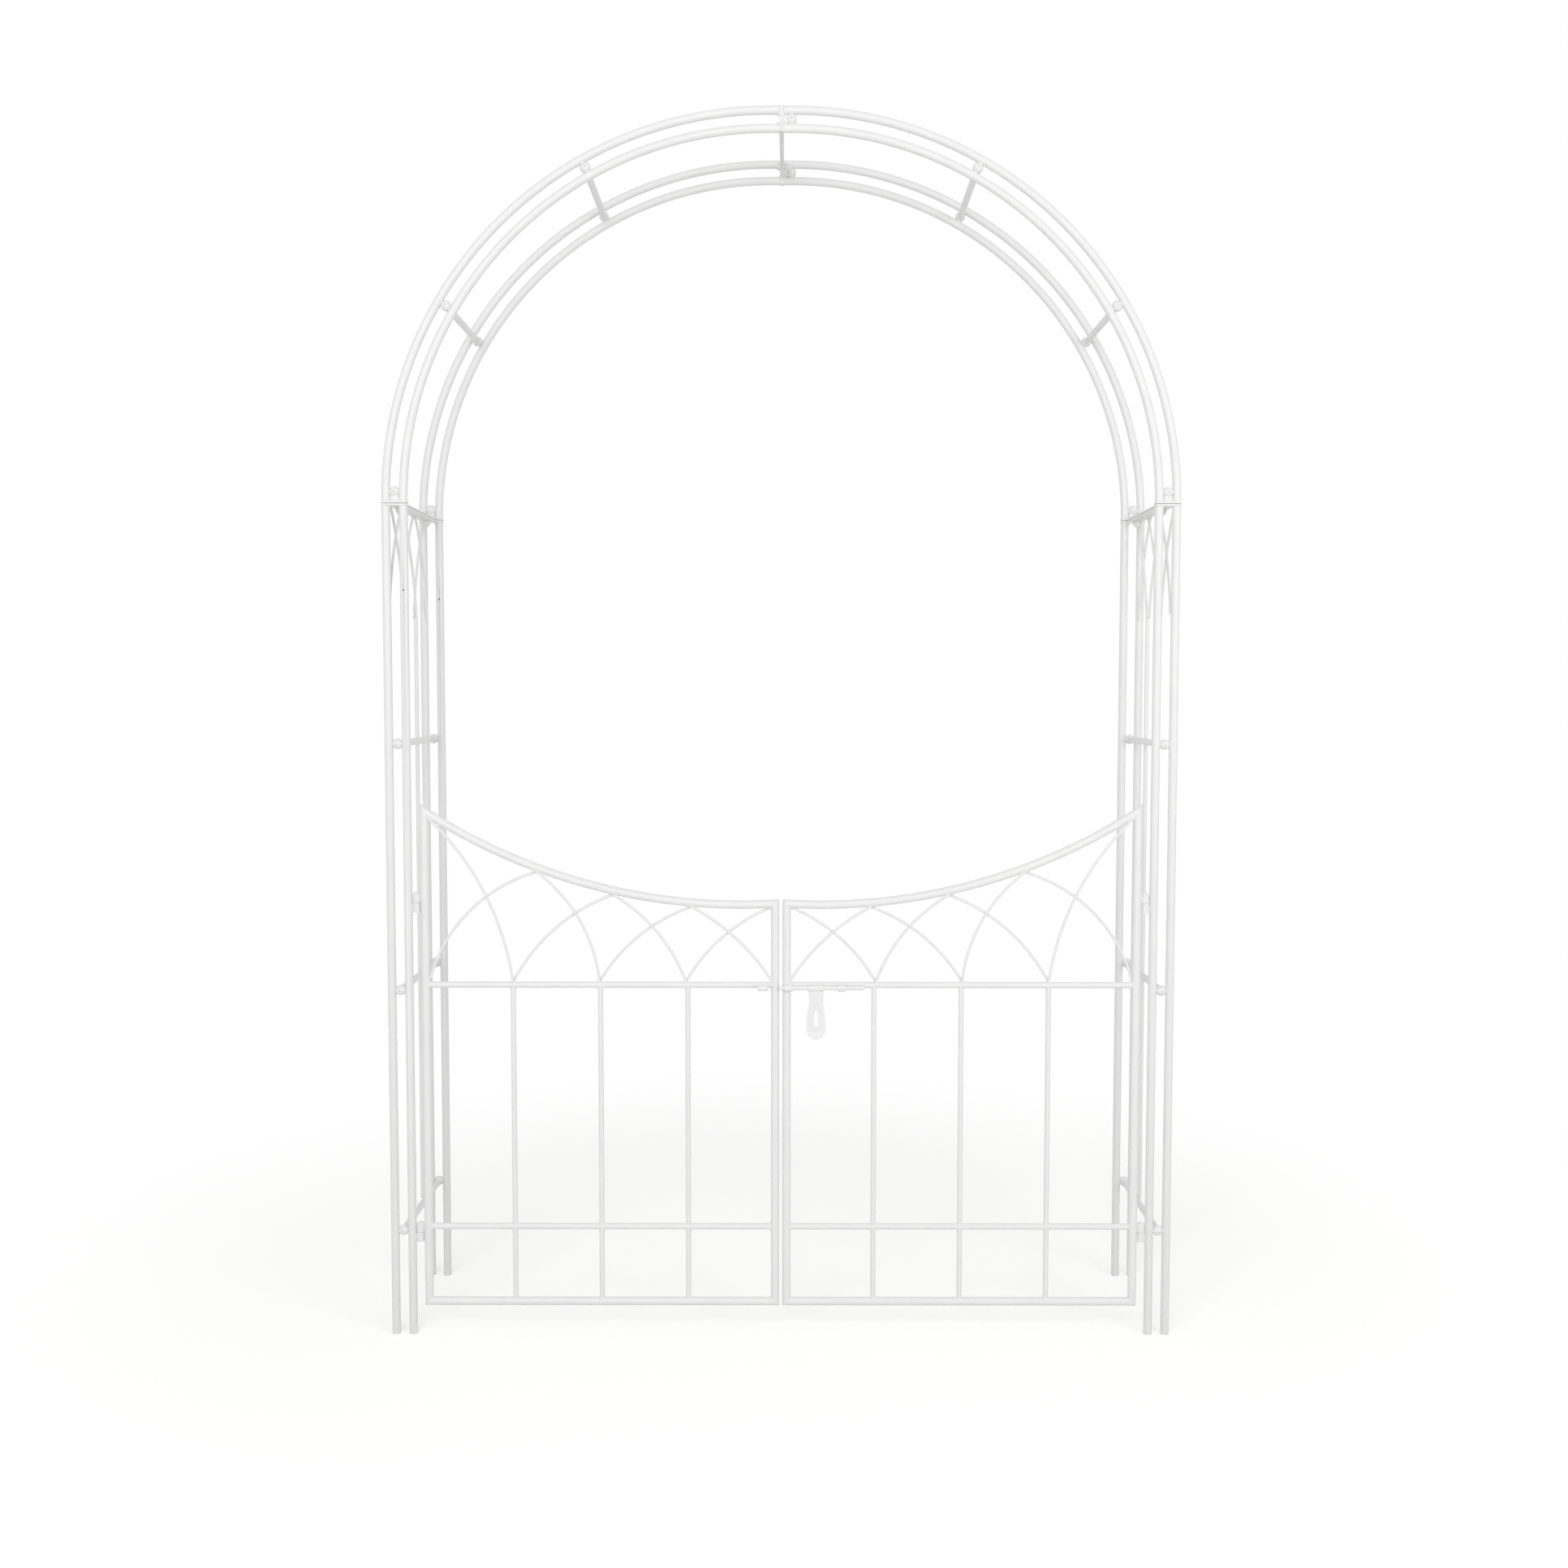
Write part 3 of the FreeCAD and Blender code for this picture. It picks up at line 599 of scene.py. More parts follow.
def linear(code: str) -> tuple[float, float, float, float]:
    """Turn an sRGB hex colour such as F2F2F0 into linear light.

    Args:
        code: Six hex digits.

    Returns:
        Linear red, green and blue, and an alpha of one.
    """
    values = []
    for i in (0, 2, 4):
        value = int(code[i:i + 2], 16) / 255
        values.append(value / 12.92 if value <= 0.04045 else ((value + 0.055) / 1.055) ** 2.4)
    return (*values, 1.0)


def add_node(tree: bpy.types.NodeTree, kind: str, settings: dict | None = None,
             links: dict | None = None) -> bpy.types.Node:
    """Add a shader node with its settings and incoming links.

    Args:
        tree: The node tree.
        kind: Blender's name for the kind of node.
        settings: Values by socket name, or by attribute name where no socket has it.
        links: Outgoing sockets by the name or number of the socket that they feed.

    Returns:
        The new node.
    """
    node = tree.nodes.new(kind)
    for name, value in (settings or {}).items():
        if hasattr(node, name) and name not in node.inputs:
            setattr(node, name, value)
        else:
            node.inputs[name].default_value = value
    for name, source in (links or {}).items():
        tree.links.new(source, node.inputs[name])
    return node


@dataclass(frozen=True)
class PowderCoat:
    """Polyester powder coat, sprayed on steel and cured: thick, satin and slightly dimpled."""

    name: str
    colour: str = "F1F1F0"
    thin_colour: str = "E9EAEA"
    ior: float = 1.5
    roughness: float = 0.36
    roughness_spread: float = 0.10
    cloud_size: float = 45 * MM
    cloud_detail: float = 3.0
    peel_size: float = 2.2 * MM
    peel_detail: float = 1.5
    peel_height: float = 0.010 * MM
    peel_strength: float = 0.6

    def material(self) -> bpy.types.Material:
        """Build the finish.

        Returns:
            The material.
        """
        material = bpy.data.materials.new(self.name)
        material.use_nodes = True
        tree = material.node_tree
        tree.nodes.clear()
        spot = add_node(tree, "ShaderNodeTexCoord").outputs["Object"]
        # The powder lies a little thinner in places, which greys the white in soft clouds.
        clouds = add_node(tree, "ShaderNodeTexNoise", {
            "Scale": 1 / self.cloud_size,
            "Detail": self.cloud_detail,
        }, {"Vector": spot})
        colour = add_node(tree, "ShaderNodeMix", {"data_type": "RGBA"}, {"Factor": clouds.outputs["Fac"]})
        colour.inputs[6].default_value = linear(self.colour)
        colour.inputs[7].default_value = linear(self.thin_colour)
        gloss = add_node(tree, "ShaderNodeMapRange", {
            "To Min": self.roughness - self.roughness_spread / 2,
            "To Max": self.roughness + self.roughness_spread / 2,
        }, {"Value": clouds.outputs["Fac"]})
        # Cured powder has a fine orange peel, which breaks the edges of its highlights.
        peel = add_node(tree, "ShaderNodeTexNoise", {
            "Scale": 1 / self.peel_size,
            "Detail": self.peel_detail,
        }, {"Vector": spot})
        dimples = add_node(tree, "ShaderNodeBump", {
            "Strength": self.peel_strength,
            "Distance": self.peel_height,
        }, {"Height": peel.outputs["Fac"]})
        surface = add_node(tree, "ShaderNodeBsdfPrincipled", {"IOR": self.ior}, {
            "Base Color": colour.outputs[2],
            "Roughness": gloss.outputs["Result"],
            "Normal": dimples.outputs["Normal"],
        })
        add_node(tree, "ShaderNodeOutputMaterial", None, {"Surface": surface.outputs["BSDF"]})
        return material


@dataclass
class Workshop:
    """Makes finished pieces of drafts and hands them to the frame."""

    finishes: dict[str, bpy.types.Material]
    box: tuple[Sequence[float], Sequence[float]]
    made: int = 0

    def hand_over(self, name: str, shape: Draft | bpy.types.Object, body: str, slot: str,
                  nodes: Sequence[str] = ()) -> None:
        """Dress a piece and place it on its body.

        Args:
            name: The piece's name.
            shape: Its draft, or its finished object.
            body: The CAD body that it rides on.
            slot: The record's material slot.
            nodes: CAD nodes that it stands for.
        """
        if isinstance(shape, Draft):
            shape.trim(*self.box)
            piece = shape.to_object(name)
        else:
            piece = shape
        piece.data.materials.clear()
        piece.data.materials.append(self.finishes[slot])
        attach(piece, body)
        if nodes:
            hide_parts(*nodes)
        self.made += 1
        log.info("%s rides on %s", name, body)


def middle_of(node: str) -> Vector:
    """Centre of a CAD node's box."""
    low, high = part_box(node)
    return (Vector(low) + Vector(high)) / 2


def size_of(node: str) -> Vector:
    """Size of a CAD node's box."""
    low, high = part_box(node)
    return Vector(high) - Vector(low)


def joint_place(name: str) -> Vector:
    """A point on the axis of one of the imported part's joints."""
    return Vector(next(joint for joint in frame["joints"] if joint["name"] == name)["pos_m"])


@dataclass(frozen=True)
class Layout:
    """Where the frame's tubes stand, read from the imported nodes."""

    front_y: float
    rear_y: float
    outer_x: float
    inner_x: float
    tube: float
    post_top: float
    springing: float
    outer_radius: float
    plate: float

    @classmethod
    def read(cls) -> "Layout":
        """Read the layout from the frame.

        Returns:
            The layout.
        """
        outer = middle_of("front_right_outer_post")
        tube = size_of("front_right_outer_post").x / 2
        low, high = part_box("front_right_outer_arch")
        return cls(
            front_y=outer.y,
            rear_y=middle_of("rear_right_outer_post").y,
            outer_x=outer.x,
            inner_x=middle_of("front_right_inner_post").x,
            tube=tube,
            post_top=size_of("front_right_outer_post").z,
            springing=low[2],
            outer_radius=high[2] - low[2] - tube,
            plate=size_of("right_head_plate").z,
        )

    @property
    def gap_x(self) -> float:
        """Middle of the gap between twin tubes."""
        return (self.outer_x + self.inner_x) / 2

    @property
    def centre_x(self) -> float:
        """Distance of the quarter arches' centres from the middle."""
        return self.outer_x - self.outer_radius

    @property
    def inner_radius(self) -> float:
        """Radius of the inner arch tubes."""
        return self.inner_x - self.centre_x

    @property
    def mean_radius(self) -> float:
        """Radius at which the arch rungs stand."""
        return (self.outer_radius + self.inner_radius) / 2

    @property
    def middle_y(self) -> float:
        """Middle between the planes."""
        return (self.front_y + self.rear_y) / 2

    def plane_y(self, plane: Plane) -> float:
        """The y of a plane of tubes."""
        return self.front_y if plane is Plane.FRONT else self.rear_y


@dataclass
class Rungs:
    """Rungs between the planes, with a vented ball at each end."""

    layout: Layout
    rung_radius: float = 6.5 * MM
    ball_radius: float = 10.0 * MM
    ball_steps: int = 18
    pole_angle: float = 0.02
    vent_radius: float = 1.1 * MM
    vent_depth: float = 2.5 * MM
    rung_weld: float = 1.3 * MM
    ball_footing: float = 3.9 * MM
    ball_weld: float = 0.9 * MM

    def add_ball(self, draft: Draft, centre: Vector, plane: Plane) -> None:
        """Add a ball with a small vent hole in its outer face.

        Args:
            draft: Draft of the balls.
            centre: The ball's centre.
            plane: The plane that it stands in.
        """
        sink = math.sqrt(self.ball_radius**2 - self.vent_radius**2)
        floor = sink - self.vent_depth
        profile = [(floor, TIP), (floor, self.vent_radius), (sink, self.vent_radius)]
        first = math.asin(self.vent_radius / self.ball_radius)
        for i in range(1, self.ball_steps + 1):
            angle = first + (math.pi - first - self.pole_angle) * i / self.ball_steps
            profile.append((self.ball_radius * math.cos(angle), self.ball_radius * math.sin(angle)))
        draft.turned(centre, Y * -plane.value, profile)

    def add_rung(self, bars: Draft, balls: Draft, welds: WeldedDraft, x: float, z: float,
                 twins: dict[Plane, list[Bar]]) -> None:
        """Add a rung with a ball at each end, and the welds at both.

        Args:
            bars: Draft of the rungs.
            balls: Draft of the balls.
            welds: Draft of the welds.
            x: The rung's place across the opening.
            z: Its height.
            twins: The twin tubes of each plane, beside the balls.
        """
        ends = {plane: Vector((x, self.layout.plane_y(plane), z)) for plane in Plane}
        bars.tube(Bar(Line(ends[Plane.FRONT], ends[Plane.REAR]), self.rung_radius))
        for plane, centre in ends.items():
            ball = Ball(centre, self.ball_radius)
            welds.bead(centre, Y * plane.value, self.rung_radius, ball.gap, self.rung_weld)
            self.weld_ball(welds, centre, twins[plane])
            self.add_ball(balls, centre, plane)

    def weld_ball(self, welds: WeldedDraft, centre: Vector, twins: list[Bar]) -> None:
        """Add the beads where a ball is welded between twin tubes.

        Args:
            welds: Draft of the welds.
            centre: The ball's centre.
            twins: The tubes on both sides of it.
        """
        for twin in twins:
            path = twin.path
            if isinstance(path, Line):
                foot = path.start + path.heading * (centre - path.start).dot(path.heading)
            else:
                foot = path.centre + (centre - path.centre).normalized() * path.radius
            welds.bead(foot, (centre - foot).normalized(), self.ball_footing, twin.gap, self.ball_weld)


@dataclass
class Leg:
    """Four posts with rungs, uprights and the crossed pointed arches of a side."""

    layout: Layout
    side: Side
    seed: int = 11
    wall: float = 1.2 * MM
    rim_ease: float = 0.35 * MM
    rung_heights: tuple[float, ...] = (0.203, 0.669, 1.139)
    upright_radius: float = 4.0 * MM
    tack_aside: float = 2.2 * MM
    tack_half: float = 2.6 * MM
    tack_weld: float = 1.2 * MM
    lattice_foot: float = 1.385
    lattice_crossing: float = 1.5196
    rod_radius: float = 2.5 * MM
    rod_reach: float = 6.8 * MM
    head_weld: float = 0.8 * MM
    foot_drop: float = 0.5 * MM
    foot_length: float = 6 * MM
    foot_weld: float = 2.625 * MM
    crossing_half: float = 2 * MM
    crossing_weld: float = 1.5 * MM
    vent_height: float = 1.428
    vent_radius: float = 1.5 * MM

    def post(self, plane: Plane, place: str) -> Bar:
        """Find the bar of a post.

        Args:
            plane: The plane that it stands in.
            place: The word outer or inner.

        Returns:
            The bar.
        """
        x = self.side.value * (self.layout.outer_x if place == "outer" else self.layout.inner_x)
        y = self.layout.plane_y(plane)
        return Bar(Line(Vector((x, y, 0)), Vector((x, y, self.layout.post_top))), self.layout.tube)

    def build(self, shop: Workshop) -> None:
        """Build and dress the leg.

        Args:
            shop: The workshop that dresses the pieces.
        """
        twins = {plane: [self.post(plane, "outer"), self.post(plane, "inner")] for plane in Plane}
        for plane in Plane:
            for place, bar in zip(("outer", "inner"), twins[plane]):
                self.build_post(shop, plane, place, bar)
        rungs = Rungs(self.layout)
        bars, balls = Draft(), Draft()
        welds = WeldedDraft(dice=random.Random(self.seed + self.side.value))
        for z in self.rung_heights:
            rungs.add_rung(bars, balls, welds, self.side.value * self.layout.gap_x, z, twins)
        word = self.side.word
        shop.hand_over(f"{word}_leg_rung_tubes", bars, "frame", "frame_coat", [f"{word}_leg_rungs"])
        shop.hand_over(f"{word}_leg_ball_ends", balls, "frame", "frame_coat", [f"{word}_leg_balls"])
        self.build_uprights(shop, welds, rungs)
        self.build_lattice(shop, welds)
        for plane in Plane:
            for bar, way in zip(twins[plane], (-1, 1)):
                welds.flare(bar.path.end, -Z, X * self.side.value * way, bar.radius)
        shop.hand_over(f"{word}_leg_welds", welds, "frame", "frame_coat")

    def build_post(self, shop: Workshop, plane: Plane, place: str, bar: Bar) -> None:
        """Build a hollow post with an eased rim, and a vent in the left inner ones.

        Args:
            shop: The workshop that dresses the pieces.
            plane: The plane that the post stands in.
            place: The word outer or inner.
            bar: The post's bar.
        """
        draft = Draft()
        outside, inside, ease, top = bar.radius, bar.radius - self.wall, self.rim_ease, self.layout.post_top
        rim = [(0, inside + ease), (0, outside - ease), (ease * ROUND_SHARE, outside - ease * ROUND_SHARE),
               (ease, outside)]
        bore = [(top, inside), (ease, inside), (ease * ROUND_SHARE, inside + ease * ROUND_SHARE)]
        draft.turned(bar.path.start, Z, rim + [(top, outside)] + bore, closed=True)
        node = f"{plane.word}_{self.side.word}_{place}_post"
        piece = draft.to_object(f"{node}_tube")
        if self.side is Side.LEFT and place == "inner":
            start = bar.path.start + Z * self.vent_height - Y * 2 * outside
            drill = Draft()
            drill.turned(start, Y, [(0, self.vent_radius), (2 * outside, self.vent_radius)])
            piece = drilled(piece, drill)
        shop.hand_over(f"{node}_tube", piece, "frame", "frame_coat", [node])

    def build_uprights(self, shop: Workshop, welds: WeldedDraft, rungs: Rungs) -> None:
        """Build the two rods on the outer side of the rungs, tacked to each rung.

        Args:
            shop: The workshop that dresses the pieces.
            welds: Draft of the leg's welds.
            rungs: Sizes of the rungs.
        """
        draft = Draft()
        touch = self.layout.gap_x + rungs.rung_radius
        x = self.side.value * (touch + self.upright_radius)
        foot = self.rung_heights[0] - self.upright_radius
        for y in self.stations()[1:-1]:
            line = Line(Vector((x, y, foot)), Vector((x, y, self.lattice_foot)))
            draft.tube(Bar(line, self.upright_radius), BOTH_EASED, 20)
            for z in self.rung_heights:
                for way in (-1, 1):
                    start = Vector((self.side.value * touch, y + way * self.tack_aside, z - self.tack_half))
                    welds.seam(start, start + Z * 2 * self.tack_half, self.tack_weld)
        word = self.side.word
        shop.hand_over(f"{word}_upright_rods", draft, "frame", "frame_coat", [f"{word}_uprights"])

    def stations(self) -> list[float]:
        """Find the y of the lattice's feet.

        Returns:
            The feet from front to rear, the outer ones beside the posts.
        """
        layout = self.layout
        half_bay = (layout.rear_y - layout.front_y) / 6
        return [layout.front_y + self.rod_reach, layout.middle_y - half_bay, layout.middle_y + half_bay,
                layout.rear_y - self.rod_reach]

    def build_lattice(self, shop: Workshop, welds: WeldedDraft) -> None:
        """Build three bays of crossed arcs, in two layers that touch at the crossings.

        Args:
            shop: The workshop that dresses the pieces.
            welds: Draft of the leg's welds.
        """
        draft = Draft()
        middle_x = middle_of(f"{self.side.word}_side_lattice").x
        ceiling = self.layout.post_top
        stations = self.stations()
        for near, far in zip(stations, stations[1:]):
            crossing = Vector((middle_x, (near + far) / 2, self.lattice_crossing))
            for start_y, end_y, layer in ((near, far, -self.rod_radius), (far, near, self.rod_radius)):
                start = Vector((middle_x + layer, start_y, self.lattice_foot))
                end = Vector((middle_x + layer, end_y, ceiling))
                arc = Arc.through(start, crossing + X * layer, end)
                draft.tube(Bar(arc, self.rod_radius), (BarEnd.EASED, Mitre(end, Z)), 16)
                heading = -arc.stations()[-1][1]
                welds.bead(end, heading, self.rod_radius, lambda p: ceiling - p.z, self.head_weld)
                low = start - Z * self.foot_drop
                welds.seam(low, low + Z * self.foot_length, self.foot_weld)
            rise = Z * self.crossing_half
            welds.seam(crossing - rise, crossing + rise, self.crossing_weld)
        word = self.side.word
        shop.hand_over(f"{word}_side_lattice_rods", draft, "frame", "frame_coat", [f"{word}_side_lattice"])


@dataclass
class Arch:
    """Two quarter arches of twin tubes, with their rungs and balls."""

    layout: Layout
    seed: int = 5
    rung_angles: tuple[float, ...] = (math.radians(31), math.radians(61))
    springing_ball_rise: float = 18 * MM
    crown_ball_x: float = 18.5 * MM

    def quarter(self, side: Side, plane: Plane, radius: float) -> Bar:
        """Find the bar of a quarter arch.

        Args:
            side: The side of the arch.
            plane: The plane that the tube lies in.
            radius: Radius of its bend.

        Returns:
            The bar.
        """
        layout = self.layout
        centre = Vector((side.value * layout.centre_x, layout.plane_y(plane), layout.springing))
        return Bar(Arc(centre, Y * -side.value, X * side.value, radius, math.pi / 2), layout.tube)

    def build(self, shop: Workshop) -> None:
        """Build and dress the arch.

        Args:
            shop: The workshop that dresses the pieces.
        """
        layout = self.layout
        rungs = Rungs(layout)
        bars, balls, welds = Draft(), Draft(), WeldedDraft(dice=random.Random(self.seed))
        for side in Side:
            twins: dict[Plane, list[Bar]] = {}
            for plane in Plane:
                twins[plane] = [self.quarter(side, plane, radius)
                                for radius in (layout.outer_radius, layout.inner_radius)]
                for place, bar in zip(("outer", "inner"), twins[plane]):
                    self.build_tube(shop, side, plane, place, bar, welds)
                self.build_plain_balls(side, plane, twins[plane], rungs, balls, welds)
            for angle in self.rung_angles:
                x = side.value * (layout.centre_x + layout.mean_radius * math.cos(angle))
                z = layout.springing + layout.mean_radius * math.sin(angle)
                rungs.add_rung(bars, balls, welds, x, z, twins)
        shop.hand_over("arch_rung_tubes", bars, "frame", "frame_coat", ["arch_rungs"])
        shop.hand_over("arch_ball_ends", balls, "frame", "frame_coat", ["arch_balls"])
        shop.hand_over("arch_welds", welds, "frame", "frame_coat")

    def build_tube(self, shop: Workshop, side: Side, plane: Plane, place: str, bar: Bar,
                   welds: WeldedDraft) -> None:
        """Build a quarter tube with its straight end at the crown, and its fillets at both plates.

        Args:
            shop: The workshop that dresses the pieces.
            side: The side of the arch.
            plane: The plane that the tube lies in.
            place: The word outer or inner.
            bar: The tube's bar.
            welds: Draft of the arch's welds.
        """
        stations = bar.path.stations()
        foot, top = stations[0][0], stations[-1][0]
        joint = Vector((side.value * self.layout.plate, top.y, top.z))
        draft = Draft()
        draft.tube(bar, sides=32)
        draft.tube(Bar(Line(top, joint), bar.radius), sides=32)
        node = f"{plane.word}_{side.word}_{place}_arch"
        shop.hand_over(f"{node}_tube", draft, "frame", "frame_coat", [node])
        way = -1 if place == "outer" else 1
        welds.flare(foot, Z, X * side.value * way, bar.radius)
        welds.flare(joint, X * side.value, Z * way, bar.radius)

    def build_plain_balls(self, side: Side, plane: Plane, twins: list[Bar], rungs: Rungs, balls: Draft,
                          welds: WeldedDraft) -> None:
        """Build the balls that carry no rung: above the springing, and right of the crown.

        Args:
            side: The side of the arch.
            plane: The plane that the balls stand in.
            twins: The tubes on both sides of them.
            rungs: Maker of the balls.
            balls: Draft of the balls.
            welds: Draft of the arch's welds.
        """
        layout = self.layout
        y, rise = layout.plane_y(plane), self.springing_ball_rise
        run = math.sqrt(layout.mean_radius**2 - rise**2)
        foot = Vector((side.value * (layout.centre_x + run), y, layout.springing))
        spots = [foot + Z * rise]
        welds.plug(foot, Z, X, rise)
        if side is Side.RIGHT:
            foot = Vector((layout.plate, y, layout.springing + layout.mean_radius))
            run = self.crown_ball_x - layout.plate
            spots.append(foot + X * run)
            welds.plug(foot, X, Z, run)
        for spot in spots:
            rungs.add_ball(balls, spot, plane)
            rungs.weld_ball(welds, spot, twins)


@dataclass
class BoltedJoints:
    """Plates at the springing and the crown, with hexagon bolts and dome nuts."""

    layout: Layout
    strip: float = 14 * MM
    lobe: float = 24.5 * MM
    lobe_depth: float = 18 * MM
    fillet: float = 7 * MM
    corner: float = 3 * MM
    edge_ease: float = 0.7 * MM
    crack: float = 0.4 * MM
    bolt_offset: float = 118 * MM
    hexagon: float = 13 * MM
    chamfer_share: float = 0.95
    chamfer_fall: float = 1.0 * MM
    head_height: float = 5.3 * MM
    nut_height: float = 6.5 * MM
    cap_step: float = 0.2 * MM
    cap_sink: float = 0.5 * MM

    def outline(self) -> list[tuple[float, float]]:
        """Draw the outline of a plate: a strip that widens in fillets to a lobe at each end.

        Returns:
            Its corners, anticlockwise.
        """
        half = (self.layout.rear_y - self.layout.front_y) / 2
        neck, end = half - self.lobe_depth / 2, half + self.lobe_depth / 2
        side = self.lobe - self.corner
        quarter = self.bend(self.strip + self.fillet, neck - self.fillet, self.fillet, math.pi, math.pi / 2)
        quarter += self.bend(side, neck + self.corner, self.corner, -math.pi / 2, 0)
        quarter += self.bend(side, end - self.corner, self.corner, 0, math.pi / 2)
        half_outline = quarter + [(-u, v) for u, v in reversed(quarter)]
        return half_outline + [(-u, -v) for u, v in half_outline]

    @staticmethod
    def bend(u: float, v: float, radius: float, start: float, end: float) -> list[tuple[float, float]]:
        """Draw a rounded corner.

        Args:
            u: Centre across the plate.
            v: Centre along the plate.
            radius: Radius of the corner.
            start: First angle.
            end: Last angle.

        Returns:
            Points along it.
        """
        steps = 6
        angles = [start + (end - start) * i / steps for i in range(steps + 1)]
        return [(u + radius * math.cos(angle), v + radius * math.sin(angle)) for angle in angles]

    def build(self, shop: Workshop) -> None:
        """Build and dress the plates, bolts and nuts.

        Args:
            shop: The workshop that dresses the pieces.
        """
        layout = self.layout
        crown = layout.springing + layout.mean_radius
        upright = Matrix(((0, 0, 1, 0), (0, 1, 0, layout.middle_y), (-1, 0, 0, crown), (0, 0, 0, 1)))
        heights = {"head": layout.post_top, "springing": layout.post_top + layout.plate + self.crack}
        bolt_rows = [layout.middle_y + way * self.bolt_offset for way in (-1, 1)]
        bolts, nuts = Draft(), Draft()
        for side in Side:
            x = side.value * layout.gap_x
            for name, z in heights.items():
                level = Matrix.Translation((x, layout.middle_y, z))
                self.build_plate(shop, f"{side.word}_{name}_plate", level)
            shift = Matrix.Translation((-layout.plate if side is Side.LEFT else self.crack, 0, 0))
            self.build_plate(shop, f"{side.word}_crown_plate", shift @ upright)
            for y in bolt_rows:
                self.add_head(bolts, Vector((x, y, layout.springing)), Z, self.head_height)
                self.add_nut(nuts, Vector((x, y, layout.post_top)), -Z)
        for y in bolt_rows:
            self.add_head(bolts, Vector((-layout.plate, y, crown)), -X, self.head_height)
            self.add_nut(nuts, Vector((layout.plate, y, crown)), X)
        shop.hand_over("hexagon_bolts", bolts, "frame", "hardware_coat", ["joint_bolts"])
        shop.hand_over("capped_nuts", nuts, "frame", "hardware_coat", ["dome_nuts"])

    def build_plate(self, shop: Workshop, node: str, place: Matrix) -> None:
        """Build one plate.

        Args:
            shop: The workshop that dresses the pieces.
            node: The CAD node that it stands for.
            place: Matrix from the outline's plane to the plate's place.
        """
        draft = Draft()
        draft.slab(self.outline(), place, self.layout.plate - self.crack, self.edge_ease)
        shop.hand_over(f"{node}_sheet", draft, "frame", "frame_coat", [node])

    def add_head(self, draft: Draft, base: Vector, axis: Vector, height: float) -> None:
        """Add a hexagon whose ends are chamfered to a circle.

        Args:
            draft: Draft of the bolts or nuts.
            base: Middle of its foot, on the plate.
            axis: Direction away from the plate.
            height: Its height.
        """
        flat, corner = self.hexagon / 2 * self.chamfer_share, self.hexagon / math.sqrt(3)
        shares = (0, 0.25, 0.5, 0.75, 1)
        rise = [(self.chamfer_fall * share, flat + (corner - flat) * share) for share in shares]
        draft.turned(base, axis, rise + [(height - h, r) for h, r in reversed(rise)], 48, self.hexagon)

    def add_nut(self, draft: Draft, base: Vector, axis: Vector) -> None:
        """Add a dome nut: a chamfered hexagon with a round cap.

        Args:
            draft: Draft of the nuts.
            base: Middle of its foot, on the plate.
            axis: Direction away from the plate.
        """
        self.add_head(draft, base, axis, self.nut_height)
        radius = self.hexagon / 2 - self.cap_step
        cap = [(self.nut_height - self.cap_sink, radius)]
        for sine, cosine in quarter_turn(9):
            cap.append((self.nut_height + radius * sine, max(radius * cosine, TIP)))
        draft.turned(base, axis, cap)


